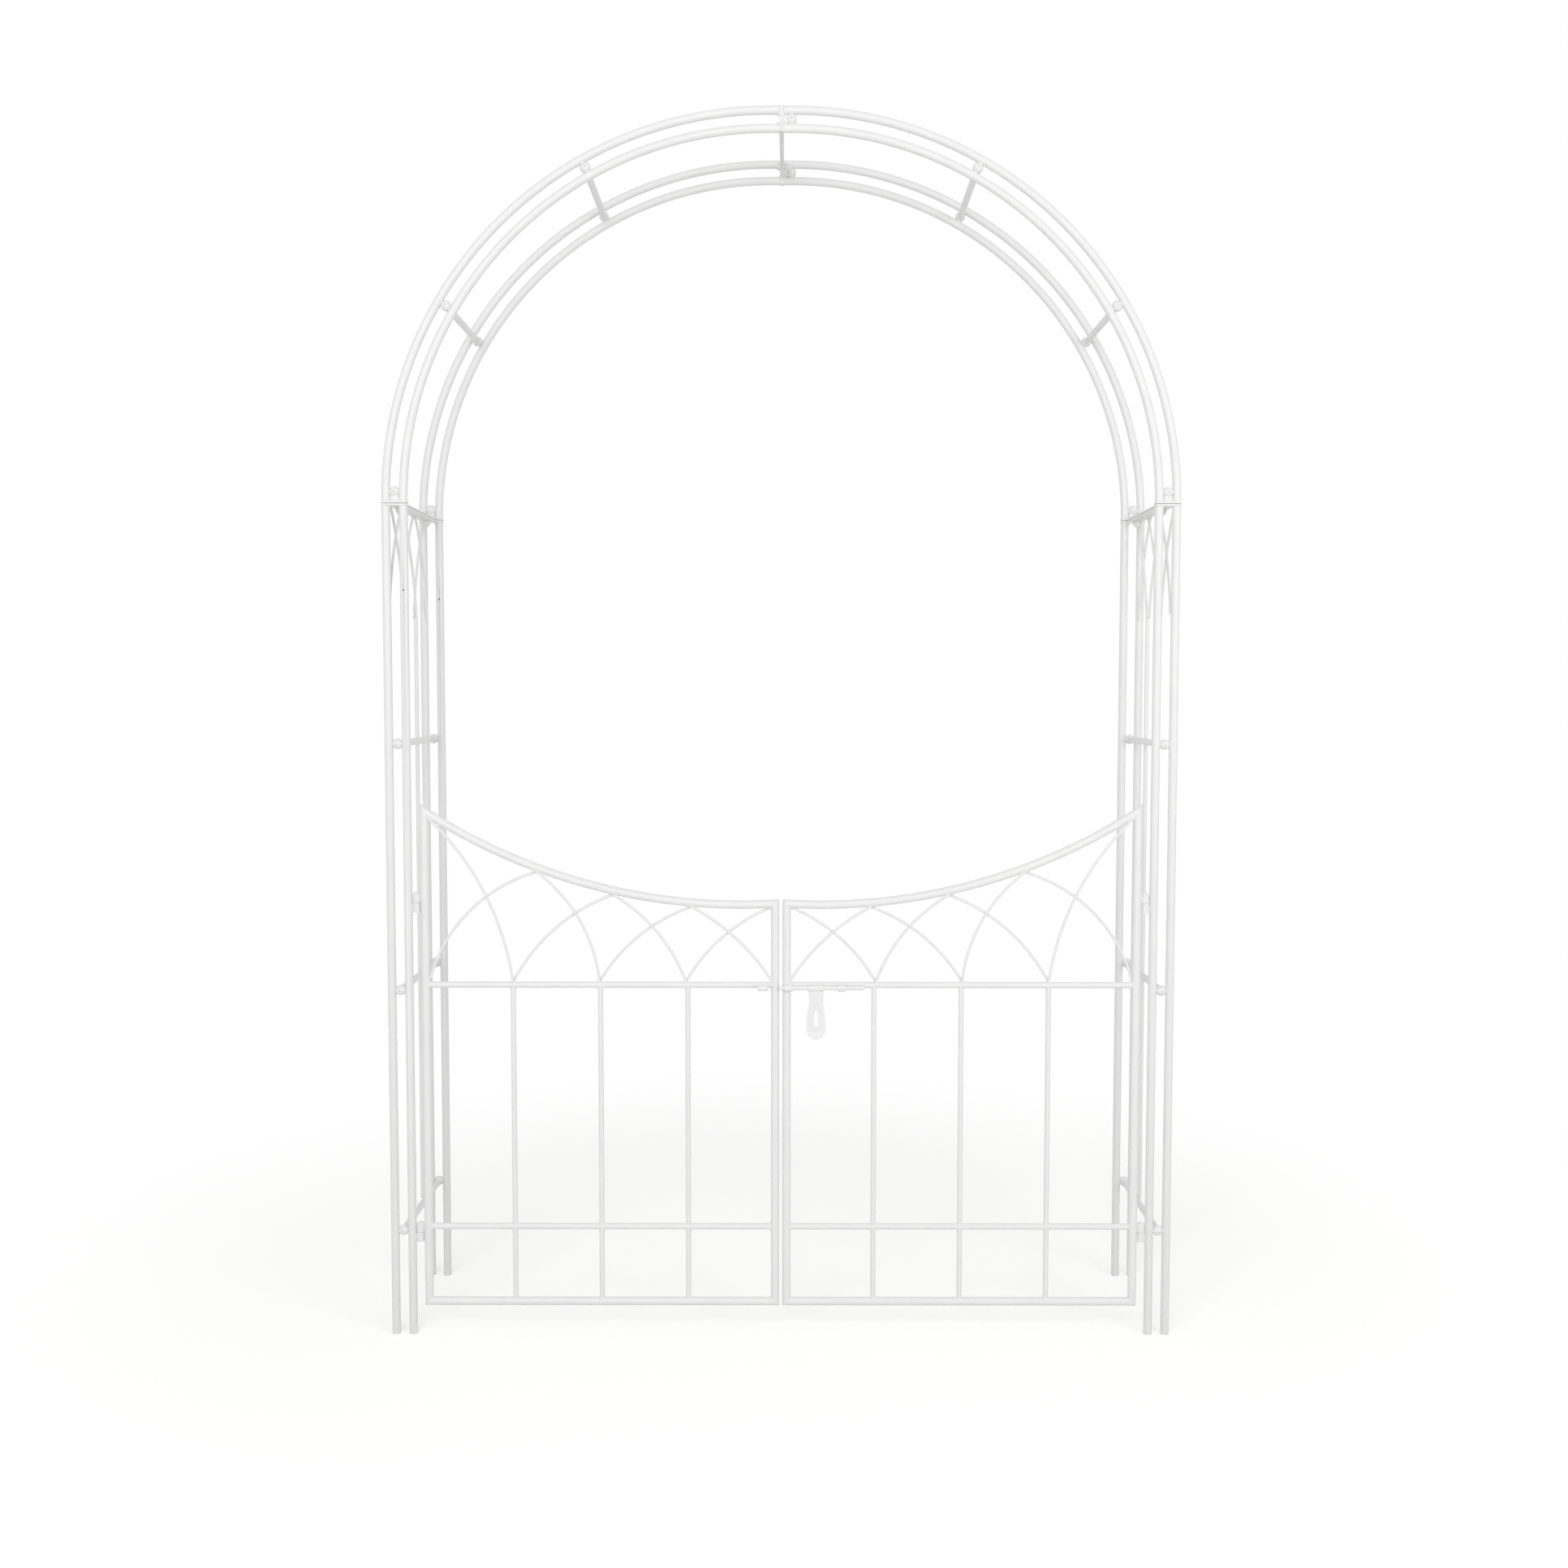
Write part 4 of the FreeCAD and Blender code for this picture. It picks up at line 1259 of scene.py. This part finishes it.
@dataclass
class GateLeaf:
    """A leaf: mitred tube frame with a dished top, rails, bars and pointed arches."""

    layout: Layout
    side: Side
    seed: int = 23
    rail_radius: float = 6.0 * MM
    bar_radius: float = 5.0 * MM
    bar_count: int = 3
    rod_radius: float = 2.6 * MM
    rod_overrun: float = 4 * MM
    feet: tuple[float, ...] = (0.671, 0.511, 0.346, 0.181, 0.016)
    tops: tuple[float, ...] = (0.668, 0.464, 0.319, 0.170, 0.022)
    crossings: tuple[tuple[float, float], ...] = (
        (0.5603, 0.849), (0.3908, 0.817), (0.245, 0.7923), (0.0989, 0.7813))
    dish_x: float = 76.5 * MM
    dish_height: float = 1.937
    dish_radius: float = 1.1035
    rail_weld: float = 1.2 * MM
    rod_weld: float = 0.9 * MM
    crossing_half: float = 2.2 * MM
    crossing_weld: float = 1.5 * MM
    mitre_sink: float = 0.35 * MM
    mitre_weld: float = 0.75 * MM
    hinge_x: float = field(init=False)
    meeting_x: float = field(init=False)
    bottom_z: float = field(init=False)
    lower_z: float = field(init=False)
    mid_z: float = field(init=False)
    body: str = field(init=False)

    def __post_init__(self) -> None:
        """Read the leaf's axes from the frame."""
        word = self.side.word
        self.hinge_x = abs(middle_of(f"{word}_hinge_stile").x)
        self.meeting_x = abs(middle_of(f"{word}_meeting_stile").x)
        self.bottom_z = middle_of(f"{word}_bottom_rail").z
        self.lower_z = middle_of(f"{word}_lower_rail").z
        self.mid_z = middle_of(f"{word}_mid_rail").z
        self.body = f"{word}_leaf"

    def at(self, x: float, z: float, forward: float = 0.0) -> Vector:
        """A point on the leaf, from its distance to the middle of the gate."""
        return Vector((self.side.value * x, self.layout.front_y - forward, z))

    def dish(self, x: float) -> float:
        """Height of the top rail's axis."""
        return self.dish_height - math.sqrt(self.dish_radius**2 - (x - self.dish_x) ** 2)

    def straight(self, x0: float, z0: float, x1: float, z1: float, radius: float) -> Bar:
        """A straight bar between two points of the leaf."""
        return Bar(Line(self.at(x0, z0), self.at(x1, z1)), radius)

    def build(self, shop: Workshop) -> None:
        """Build and dress the leaf.

        Args:
            shop: The workshop that dresses the pieces.
        """
        welds = WeldedDraft(dice=random.Random(self.seed + self.side.value))
        bars = self.build_frame(shop, welds)
        for name, z in (("mid_rail", self.mid_z), ("lower_rail", self.lower_z)):
            bars[name] = self.straight(self.hinge_x, z, self.meeting_x, z, self.rail_radius)
            self.build_bar(shop, name, bars[name])
            for x, neighbour, way in ((self.hinge_x, "hinge", -1), (self.meeting_x, "meeting", 1)):
                heading = X * self.side.value * way
                welds.bead(self.at(x, z), heading, self.rail_radius, bars[neighbour].gap, self.rail_weld)
        self.build_uprights(shop, bars, welds)
        self.build_lattice(shop, bars, welds)
        shop.hand_over(f"{self.side.word}_leaf_welds", welds, self.body, "gate_coat")

    def build_bar(self, shop: Workshop, name: str, bar: Bar, ends: tuple[Cut, Cut] = BOTH_HIDDEN) -> None:
        """Build one tube of the leaf.

        Args:
            shop: The workshop that dresses the pieces.
            name: Name of its CAD node, without the side.
            bar: Its bar.
            ends: How its start and its end are made.
        """
        draft = Draft()
        draft.tube(bar, ends)
        node = f"{self.side.word}_{name}"
        shop.hand_over(f"{node}_tube", draft, self.body, "gate_coat", [node])

    def build_frame(self, shop: Workshop, welds: WeldedDraft) -> dict[str, Bar]:
        """Build the stiles and the top and bottom rails with mitred corners.

        Args:
            shop: The workshop that dresses the pieces.
            welds: Draft of the leaf's welds.

        Returns:
            The bars by name.
        """
        tube = self.layout.tube
        middle_x = (self.hinge_x + self.meeting_x) / 2
        dished = Arc.through(*[self.at(x, self.dish(x)) for x in (self.hinge_x, middle_x, self.meeting_x)])
        stations = dished.stations()
        heads = {"hinge": stations[0], "meeting": (stations[-1][0], -stations[-1][1])}
        bars = {
            "top": Bar(dished, tube),
            "bottom": self.straight(self.hinge_x, self.bottom_z, self.meeting_x, self.bottom_z, tube),
        }
        tops, feet = [], []
        for place, x, inward in (("hinge", self.hinge_x, -1), ("meeting", self.meeting_x, 1)):
            corner, along_rail = heads[place]
            foot, along_foot = self.at(x, self.bottom_z), X * self.side.value * inward
            bars[place] = Bar(Line(foot, corner), tube)
            tops.append(Mitre(corner, (-Z - along_rail).normalized()))
            feet.append(Mitre(foot, (Z - along_foot).normalized()))
            self.build_bar(shop, f"{place}_stile", bars[place], (feet[-1], tops[-1]))
            self.weld_mitre(welds, tops[-1], along_rail)
            self.weld_mitre(welds, feet[-1], along_foot)
        self.build_bar(shop, "top_rail", bars["top"], tuple(tops))
        self.build_bar(shop, "bottom_rail", bars["bottom"], tuple(feet))
        return bars

    def weld_mitre(self, welds: WeldedDraft, mitre: Mitre, heading: Vector) -> None:
        """Add the bead round a mitred corner, mostly ground away.

        Args:
            welds: Draft of the leaf's welds.
            mitre: The cut between the two tubes.
            heading: Direction of the rail, away from the corner.
        """
        spot, normal = mitre.point, mitre.normal
        sunk = self.layout.tube - self.mitre_sink
        welds.bead(spot, heading, sunk, lambda p: -(p - spot).dot(normal), self.mitre_weld)

    def build_uprights(self, shop: Workshop, bars: dict[str, Bar], welds: WeldedDraft) -> None:
        """Build the upright bars, which pass through the lower rail.

        Args:
            shop: The workshop that dresses the pieces.
            bars: The leaf's bars by name.
            welds: Draft of the leaf's welds.
        """
        draft = Draft()
        pitch = (self.hinge_x - self.meeting_x) / (self.bar_count + 1)
        for i in range(1, self.bar_count + 1):
            x = self.hinge_x - i * pitch
            draft.tube(self.straight(x, self.bottom_z, x, self.mid_z, self.bar_radius), sides=24)
            for z, way, neighbour in ((self.mid_z, -1, "mid_rail"), (self.bottom_z, 1, "bottom"),
                                      (self.lower_z, 1, "lower_rail"), (self.lower_z, -1, "lower_rail")):
                welds.bead(self.at(x, z), Z * way, self.bar_radius, bars[neighbour].gap, self.rail_weld)
        word = self.side.word
        shop.hand_over(f"{word}_gate_bars", draft, self.body, "gate_coat", [f"{word}_bars"])

    def build_lattice(self, shop: Workshop, bars: dict[str, Bar], welds: WeldedDraft) -> None:
        """Build the four pairs of arcs that cross into pointed arches.

        Args:
            shop: The workshop that dresses the pieces.
            bars: The leaf's bars by name.
            welds: Draft of the leaf's welds.
        """
        draft = Draft()
        foot_z = self.mid_z + self.rail_radius
        for pair, (cross_x, cross_z) in enumerate(self.crossings):
            for foot, top, layer in ((pair, pair + 1, -self.rod_radius), (pair + 1, pair, self.rod_radius)):
                top_x = self.tops[top]
                start = self.at(self.feet[foot], foot_z, layer)
                end = self.at(top_x, self.dish(top_x) - self.layout.tube, layer)
                arc = Arc.through(start, self.at(cross_x, cross_z, layer), end, self.rod_overrun)
                draft.tube(Bar(arc, self.rod_radius), sides=16)
                (low, heading), *_, (high, onward) = arc.stations()
                welds.bead(low, heading, self.rod_radius, bars["mid_rail"].gap, self.rod_weld)
                welds.bead(high, -onward, self.rod_radius, bars["top"].gap, self.rod_weld)
            cross, rise = self.at(cross_x, cross_z), Z * self.crossing_half
            welds.seam(cross - rise, cross + rise, self.crossing_weld)
        word = self.side.word
        shop.hand_over(f"{word}_gate_lattice_rods", draft, self.body, "gate_coat", [f"{word}_gate_lattice"])


@dataclass
class LiftOffHinges:
    """Pins on the post and barrels on the leaf, two pairs to a leaf."""

    layout: Layout
    side: Side
    seed: int = 31
    splits: tuple[float, ...] = (199.2 * MM, 836.5 * MM)
    gap: float = 0.3 * MM
    pintle_height: float = 18 * MM
    knuckle_height: float = 18.5 * MM
    barrel: float = 6.75 * MM
    pin: float = 4.0 * MM
    pin_short: float = 1 * MM
    crown: float = 2.4 * MM
    ease: float = 0.5 * MM
    clearance: float = 0.05 * MM
    weld: float = 1.5 * MM
    weld_inset: float = 1.5 * MM
    weld_aside: float = 1.2 * MM
    weld_outside: float = 0.5 * MM

    def build(self, shop: Workshop) -> None:
        """Build and dress the hinges.

        Args:
            shop: The workshop that dresses the pieces.
        """
        word = self.side.word
        axis = joint_place(f"{word}_leaf_swing")
        post_x = self.side.value * self.layout.inner_x
        stile_x = middle_of(f"{word}_hinge_stile").x
        dice = random.Random(self.seed + self.side.value)
        pintles, knuckles = WeldedDraft(dice=dice), WeldedDraft(dice=dice)
        for split in self.splits:
            seat = Vector((axis.x, axis.y, split - self.gap / 2))
            foot = Vector((axis.x, axis.y, split + self.gap / 2))
            self.add_pintle(pintles, seat)
            self.add_knuckle(knuckles, foot)
            self.add_seams(pintles, seat - Z * self.pintle_height, self.pintle_height, post_x)
            self.add_seams(knuckles, foot, self.knuckle_height, stile_x)
        shop.hand_over(f"{word}_hinge_pins", pintles, "frame", "hardware_coat", [f"{word}_pintles"])
        shop.hand_over(f"{word}_hinge_barrels", knuckles, f"{word}_leaf", "hardware_coat",
                       [f"{word}_knuckles"])

    def add_pintle(self, draft: Draft, seat: Vector) -> None:
        """Add a barrel with a pin that stands out of it and ends in a dome.

        Args:
            draft: Draft of the pins.
            seat: Middle of the barrel's upper face.
        """
        low, ease = -self.pintle_height, self.ease
        profile = [(low, self.barrel - ease), (low + ease, self.barrel), (-ease, self.barrel),
                   (0, self.barrel - ease), (0, self.pin)]
        top = self.gap + self.knuckle_height - self.pin_short
        for sine, cosine in quarter_turn(8):
            profile.append((top + self.pin * sine, max(self.pin * cosine, TIP)))
        draft.turned(seat, Z, profile)

    def add_knuckle(self, draft: Draft, foot: Vector) -> None:
        """Add a barrel with a bore for the pin and a rounded crown.

        Args:
            draft: Draft of the barrels.
            foot: Middle of the barrel's lower face.
        """
        bore, top = self.pin + self.clearance, self.knuckle_height
        profile = [(0, bore), (0, self.barrel - self.ease), (self.ease, self.barrel)]
        for sine, cosine in quarter_turn(6):
            profile.append((top - self.crown * (1 - sine), self.barrel - self.crown * (1 - cosine)))
        draft.turned(foot, Z, profile + [(top, bore)], closed=True)

    def add_seams(self, draft: WeldedDraft, foot: Vector, height: float, tube_x: float) -> None:
        """Add the weld that fills the gap between a barrel and its tube.

        Args:
            draft: Draft of the pins or of the barrels.
            foot: Middle of the barrel's lower face.
            height: The barrel's height.
            tube_x: The x of the tube that it is welded to.
        """
        way = 1 if tube_x > foot.x else -1
        x = foot.x + way * (self.barrel + self.weld_outside)
        low, high = foot.z + self.weld_inset, foot.z + height - self.weld_inset
        for y in (foot.y - self.weld_aside, foot.y + self.weld_aside):
            draft.seam(Vector((x, y, low)), Vector((x, y, high)), self.weld)


@dataclass
class SlidingLatch:
    """A round bolt in two guides, its keeper, and the slotted hasp that hangs from it."""

    layout: Layout
    seed: int = 47
    bolt: float = 4.0 * MM
    bolt_ease: float = 0.8 * MM
    clearance: float = 0.05 * MM
    sleeve_ease: float = 0.5 * MM
    guide: float = 6.8 * MM
    near_guide: tuple[float, float] = (7 * MM, 23 * MM)
    far_guide: tuple[float, float] = (108 * MM, 122.5 * MM)
    guide_weld: float = 1.2 * MM
    guide_weld_inset: float = 1.5 * MM
    guide_weld_back: float = 5.6 * MM
    guide_weld_rises: tuple[float, float] = (-3.6 * MM, 5.4 * MM)
    keeper: float = 5.5 * MM
    keeper_bore: float = 4.7 * MM
    keeper_run: tuple[float, float] = (-44 * MM, -24 * MM)
    foot_run: tuple[float, float] = (-40 * MM, -28 * MM)
    foot_rise: tuple[float, float] = (-1.5 * MM, 3.5 * MM)
    foot_clear: float = 0.3 * MM
    foot_sink: float = 4.5 * MM
    foot_ease: float = 0.4 * MM
    foot_weld: float = 0.9 * MM
    foot_weld_back: float = 1 * MM
    foot_weld_rises: tuple[float, float] = (-1.6 * MM, 3.9 * MM)
    eye_half: float = 15 * MM
    eye_radius: float = 6 * MM
    waist_half: float = 13.2 * MM
    waist_depth: float = 21 * MM
    wide_depth: float = 68 * MM
    hasp_half: float = 17.5 * MM
    drop: float = 97.5 * MM
    outline_rows: int = 60
    outline_tip: float = 0.3 * MM
    thickness: float = 3 * MM
    plate_ease: float = 0.5 * MM
    slot_half: float = 3 * MM
    slot_top: float = 43.5 * MM
    slot_bottom: float = 75 * MM
    cutter_half: float = 10 * MM
    cutter_ease: float = 0.01 * MM
    lip_drop: float = 86.5 * MM
    lip_angle: float = math.radians(35)
    bend_half: float = 3 * MM
    axis: Vector = field(init=False)

    def __post_init__(self) -> None:
        """Read the bolt's axis from the frame."""
        self.axis = joint_place("hasp_turn")

    @property
    def bolt_bore(self) -> float:
        """Radius of a bore that the bolt runs in."""
        return self.bolt + self.clearance

    def on_axis(self, x: float) -> Vector:
        """A point on the bolt's axis."""
        return Vector((x, self.axis.y, self.axis.z))

    def upright(self, x: float, y: float) -> Matrix:
        """Matrix that stands an outline up at the bolt's height, with its back at y."""
        return Matrix(((1, 0, 0, x), (0, 0, -1, y), (0, 1, 0, self.axis.z), (0, 0, 0, 1)))

    def build(self, shop: Workshop) -> None:
        """Build and dress the latch.

        Args:
            shop: The workshop that dresses the pieces.
        """
        dice = random.Random(self.seed)
        guides = WeldedDraft(dice=dice)
        back = self.axis.y + self.guide_weld_back
        for low, high in (self.near_guide, self.far_guide):
            self.add_sleeve(guides, low, high, self.guide, self.bolt_bore)
            for rise in self.guide_weld_rises:
                start = Vector((low + self.guide_weld_inset, back, self.axis.z + rise))
                guides.seam(start, start + X * (high - low - 2 * self.guide_weld_inset), self.guide_weld)
        shop.hand_over("bolt_guide_sleeves", guides, "right_leaf", "hardware_coat", ["bolt_guides"])
        self.build_keeper(shop, dice)
        self.build_bolt(shop)
        self.build_hasp(shop)

    def add_sleeve(self, draft: Draft, low: float, high: float, outside: float, inside: float) -> None:
        """Add a bored sleeve along the bolt's axis.

        Args:
            draft: Draft of the sleeve.
            low: The x of its left end.
            high: The x of its right end.
            outside: Its outer radius.
            inside: Radius of its bore.
        """
        ease, length = self.sleeve_ease, high - low
        rim = [(0, outside - ease), (ease * ROUND_SHARE, outside - ease * ROUND_SHARE), (ease, outside)]
        profile = [(0, inside)] + rim + [(length - h, r) for h, r in reversed(rim)] + [(length, inside)]
        draft.turned(self.on_axis(low), X, profile, 36, closed=True)

    def build_keeper(self, shop: Workshop, dice: random.Random) -> None:
        """Build the keeper sleeve with its foot on the left mid rail.

        Args:
            shop: The workshop that dresses the pieces.
            dice: Source of the welds' ripples.
        """
        draft = WeldedDraft(dice=dice)
        self.add_sleeve(draft, *self.keeper_run, self.keeper, self.keeper_bore)
        start_y = self.axis.y + self.keeper_bore + self.foot_clear
        end_y = self.layout.front_y - self.foot_sink
        (left, right), (low, high) = self.foot_run, self.foot_rise
        outline = [(left, low), (right, low), (right, high), (left, high)]
        draft.slab(outline, self.upright(0, end_y), end_y - start_y, self.foot_ease)
        for rise in self.foot_weld_rises:
            start = Vector((left, self.axis.y + self.keeper + self.foot_weld_back, self.axis.z + rise))
            draft.seam(start, start + X * (right - left), self.foot_weld)
        shop.hand_over("keeper_sleeve", draft, "left_leaf", "hardware_coat", ["keeper", "keeper_foot"])

    def build_bolt(self, shop: Workshop) -> None:
        """Build the sliding bolt, square at its tip and domed at its other end.

        Args:
            shop: The workshop that dresses the pieces.
        """
        low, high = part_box("bolt_rod")
        draft = Draft()
        line = Line(self.on_axis(low[0]), self.on_axis(high[0]))
        draft.tube(Bar(line, self.bolt), (BarEnd.EASED, BarEnd.DOMED), 32, self.bolt_ease)
        shop.hand_over("bolt_bar", draft, "bolt", "hardware_coat", ["bolt_rod"])

    def half_width(self, depth: float) -> float:
        """Find half the hasp's width: a waist below the eye, a wide part and a round end.

        Args:
            depth: Depth below the bolt's axis.

        Returns:
            Half the width there.
        """
        round_depth = self.drop - self.hasp_half
        if depth > round_depth:
            return math.sqrt(max(self.hasp_half**2 - (depth - round_depth) ** 2, 0))
        if depth < self.waist_depth:
            share = 1 - depth / self.waist_depth
            wide = self.eye_half
        else:
            share = min((depth - self.waist_depth) / (self.wide_depth - self.waist_depth), 1)
            wide = self.hasp_half
        return self.waist_half + (wide - self.waist_half) * (1 - math.cos(math.pi * share)) / 2

    def hasp_outline(self) -> list[tuple[float, float]]:
        """Draw the outline of the hasp's plate, with rows closer together towards its round end.

        Returns:
            Its corners, anticlockwise.
        """
        depths = [self.drop * math.sin(math.pi / 2 * i / self.outline_rows) for i in range(self.outline_rows)]
        widths = [(self.half_width(depth), -depth) for depth in depths]
        right = [(u, v) for u, v in widths if u > self.outline_tip]
        return right[::-1] + [(-u, v) for u, v in right]

    def slot_outline(self) -> list[tuple[float, float]]:
        """Draw the outline of the slot, round at both ends.

        Returns:
            Its corners, anticlockwise.
        """
        steps, radius = 12, self.slot_half
        outline = []
        for end, first in ((self.slot_top + radius, 0.0), (self.slot_bottom - radius, math.pi)):
            for i in range(steps + 1):
                angle = first + math.pi * i / steps
                outline.append((radius * math.cos(angle), -end + radius * math.sin(angle)))
        return outline

    def build_hasp(self, shop: Workshop) -> None:
        """Build the waisted plate with its slot, bent lip and rolled eye.

        Args:
            shop: The workshop that dresses the pieces.
        """
        x, y, _ = self.axis
        plate, slot, eye = Draft(), Draft(), Draft()
        place = self.upright(x, y + self.thickness / 2)
        plate.slab(self.hasp_outline(), place, self.thickness, self.plate_ease)
        through = self.upright(x, y + self.cutter_half)
        slot.slab(self.slot_outline(), through, 2 * self.cutter_half, self.cutter_ease)
        piece = drilled(plate.to_object("hasp_plate"), slot)
        self.fold_lip(piece)
        self.add_sleeve(eye, x - self.eye_half, x + self.eye_half, self.eye_radius, self.bolt_bore)
        shop.hand_over("hasp_plate", piece, "hasp", "hardware_coat", ["hasp"])
        shop.hand_over("hasp_eye", eye, "hasp", "hardware_coat")

    def fold_lip(self, piece: bpy.types.Object) -> None:
        """Bend the plate forward below its fold, keeping its height as seen from the front.

        Args:
            piece: The hasp's plate.
        """
        work = bmesh.new()
        work.from_mesh(piece.data)
        fold, half = self.axis.z - self.lip_drop, self.bend_half
        for height in (fold + half, fold, fold - half):
            geometry = work.verts[:] + work.edges[:] + work.faces[:]
            bmesh.ops.bisect_plane(work, geom=geometry, plane_co=(0, 0, height), plane_no=(0, 0, 1))
        for vertex in work.verts:
            below = fold + half - vertex.co.z
            if below > 0:
                reach = below * below / (4 * half) if below < 2 * half else below - half
                vertex.co.y -= math.tan(self.lip_angle) * reach
        work.to_mesh(piece.data)
        work.free()
        shade(piece.data)


@dataclass(frozen=True)
class Lamp:
    """A soft square panel of light."""

    name: str
    place: tuple[float, float, float]
    target: tuple[float, float, float]
    size: float
    power: float

    def hang(self) -> None:
        """Hang the panel, turned to its target."""
        data = bpy.data.lights.new(self.name, "AREA")
        data.size = self.size
        data.energy = self.power
        lamp = bpy.data.objects.new(self.name, data)
        lamp.location = self.place
        aim = Vector(self.target) - Vector(self.place)
        lamp.rotation_euler = aim.to_track_quat("-Z", "Y").to_euler()
        bpy.context.scene.collection.objects.link(lamp)


@dataclass
class Studio:
    """Pale floor, white surround, soft lights and the camera."""

    layout: Layout
    focal_pixels: float = 2006.1
    sensor: float = 36.0
    camera_place: tuple[float, float, float] = (13.9 * MM, -3236.8 * MM, 1245.5 * MM)
    pitch: float = 0.059
    roll: float = -0.001
    centre_column: float = 971.5
    floor_half: float = 9.0
    floor_colour: str = "F4F4F3"
    white: str = "FFFFFF"
    fade_start: float = 0.9
    fade_end: float = 2.6
    near_share: float = 0.40
    near_glow: float = 1.20
    fill: float = 0.62
    lamps: tuple[Lamp, ...] = (
        Lamp("key_panel", (-1.3, -4.9, 2.6), (0, 0, 1.2), 3.2, 80),
        Lamp("fill_panel", (2.6, -3.2, 1.9), (0, 0, 1.1), 2.2, 30),
    )

    def build(self) -> None:
        """Build the floor, the world, the lights and the camera."""
        self.build_floor()
        self.build_world()
        for lamp in self.lamps:
            lamp.hang()
        self.build_camera()

    def build_floor(self) -> None:
        """Build a wide matt floor that the camera sees as near white, with the object's shadow."""
        half = self.floor_half
        mesh = bpy.data.meshes.new("floor")
        corners = [(-half, -half, 0), (half, -half, 0), (half, half, 0), (-half, half, 0)]
        mesh.from_pydata(corners, [], [(0, 1, 2, 3)])
        floor = bpy.data.objects.new("floor", mesh)
        bpy.context.scene.collection.objects.link(floor)
        material = bpy.data.materials.new("matt white studio floor")
        material.use_nodes = True
        tree = material.node_tree
        tree.nodes.clear()
        # The floor's rough paper has no gloss, so only the soft shadow shows on it.
        matt = add_node(tree, "ShaderNodeBsdfDiffuse", {"Color": linear(self.floor_colour), "Roughness": 1.0})
        # The paper shows its shadow near the object and fades into the white surround farther out.
        spot = add_node(tree, "ShaderNodeTexCoord").outputs["Object"]
        away = add_node(tree, "ShaderNodeVectorMath", {"operation": "LENGTH"}, {0: spot}).outputs["Value"]
        fades = [add_node(tree, "ShaderNodeMapRange", {
            "interpolation_type": "SMOOTHSTEP", "From Min": self.fade_start, "From Max": self.fade_end,
            "To Min": near, "To Max": 1.0}, {"Value": away}).outputs["Result"]
            for near in (self.near_share, self.near_glow)]
        glow = add_node(tree, "ShaderNodeEmission", {"Color": linear(self.white)}, {"Strength": fades[1]})
        share = add_node(tree, "ShaderNodeMath", {"operation": "MULTIPLY"}, {0: self.seen(tree), 1: fades[0]})
        mix = add_node(tree, "ShaderNodeMixShader", None,
                       {0: share.outputs[0], 1: matt.outputs[0], 2: glow.outputs[0]})
        add_node(tree, "ShaderNodeOutputMaterial", None, {"Surface": mix.outputs[0]})
        mesh.materials.append(material)

    def seen(self, tree: bpy.types.NodeTree) -> bpy.types.NodeSocket:
        """Tell the rays that show the surround from those that light the object.

        Args:
            tree: The node tree.

        Returns:
            A value that is one for the first and nought for the second.
        """
        path = add_node(tree, "ShaderNodeLightPath")
        first = add_node(tree, "ShaderNodeMath", {"operation": "MAXIMUM"},
                         {0: path.outputs["Is Camera Ray"], 1: path.outputs["Is Glossy Ray"]})
        both = add_node(tree, "ShaderNodeMath", {"operation": "MAXIMUM"},
                        {0: first.outputs[0], 1: path.outputs["Is Transmission Ray"]})
        return both.outputs[0]

    def build_world(self) -> None:
        """Build a surround that shows white and lights the object softly."""
        world = bpy.data.worlds.new("white surround")
        bpy.context.scene.world = world
        world.use_nodes = True
        tree = world.node_tree
        tree.nodes.clear()
        white = linear(self.white)
        dim, bright = [add_node(tree, "ShaderNodeBackground", {"Color": white, "Strength": strength})
                       for strength in (self.fill, 1.0)]
        mix = add_node(tree, "ShaderNodeMixShader", None,
                       {0: self.seen(tree), 1: dim.outputs[0], 2: bright.outputs[0]})
        add_node(tree, "ShaderNodeOutputWorld", None, {"Surface": mix.outputs[0]})

    def build_camera(self) -> None:
        """Build a camera at the photograph's place, measured from the middle between the planes."""
        data = bpy.data.cameras.new("camera")
        data.sensor_width = self.sensor
        data.lens = self.focal_pixels / IMAGE_SIZE * self.sensor
        data.shift_x = (IMAGE_SIZE / 2 - self.centre_column) / IMAGE_SIZE
        camera = bpy.data.objects.new("camera", data)
        x, y, z = self.camera_place
        camera.location = (x, y + self.layout.middle_y, z)
        camera.rotation_euler = (math.pi / 2 - self.pitch, self.roll, 0)
        bpy.context.scene.collection.objects.link(camera)
        bpy.context.scene.camera = camera


def main() -> None:
    """Build the finishes, the frame, the gate, the latch and the studio."""
    logging.basicConfig(level=logging.INFO, format="%(name)s: %(message)s")
    bpy.context.scene.view_settings.view_transform = "Standard"
    layout = Layout.read()
    shop = Workshop({
        "frame_coat": PowderCoat("satin white powder coat on frame tube").material(),
        "gate_coat": PowderCoat("satin white powder coat on gate tube").material(),
        "hardware_coat": PowderCoat("satin white powder coat on fittings", peel_height=0.008 * MM).material(),
    }, CAD_BOX)
    for side in Side:
        Leg(layout, side).build(shop)
    Arch(layout).build(shop)
    BoltedJoints(layout).build(shop)
    for side in Side:
        GateLeaf(layout, side).build(shop)
        LiftOffHinges(layout, side).build(shop)
    SlidingLatch(layout).build(shop)
    Studio(layout).build()
    log.info("%d pieces", shop.made)


if __name__ == "__main__":
    main()
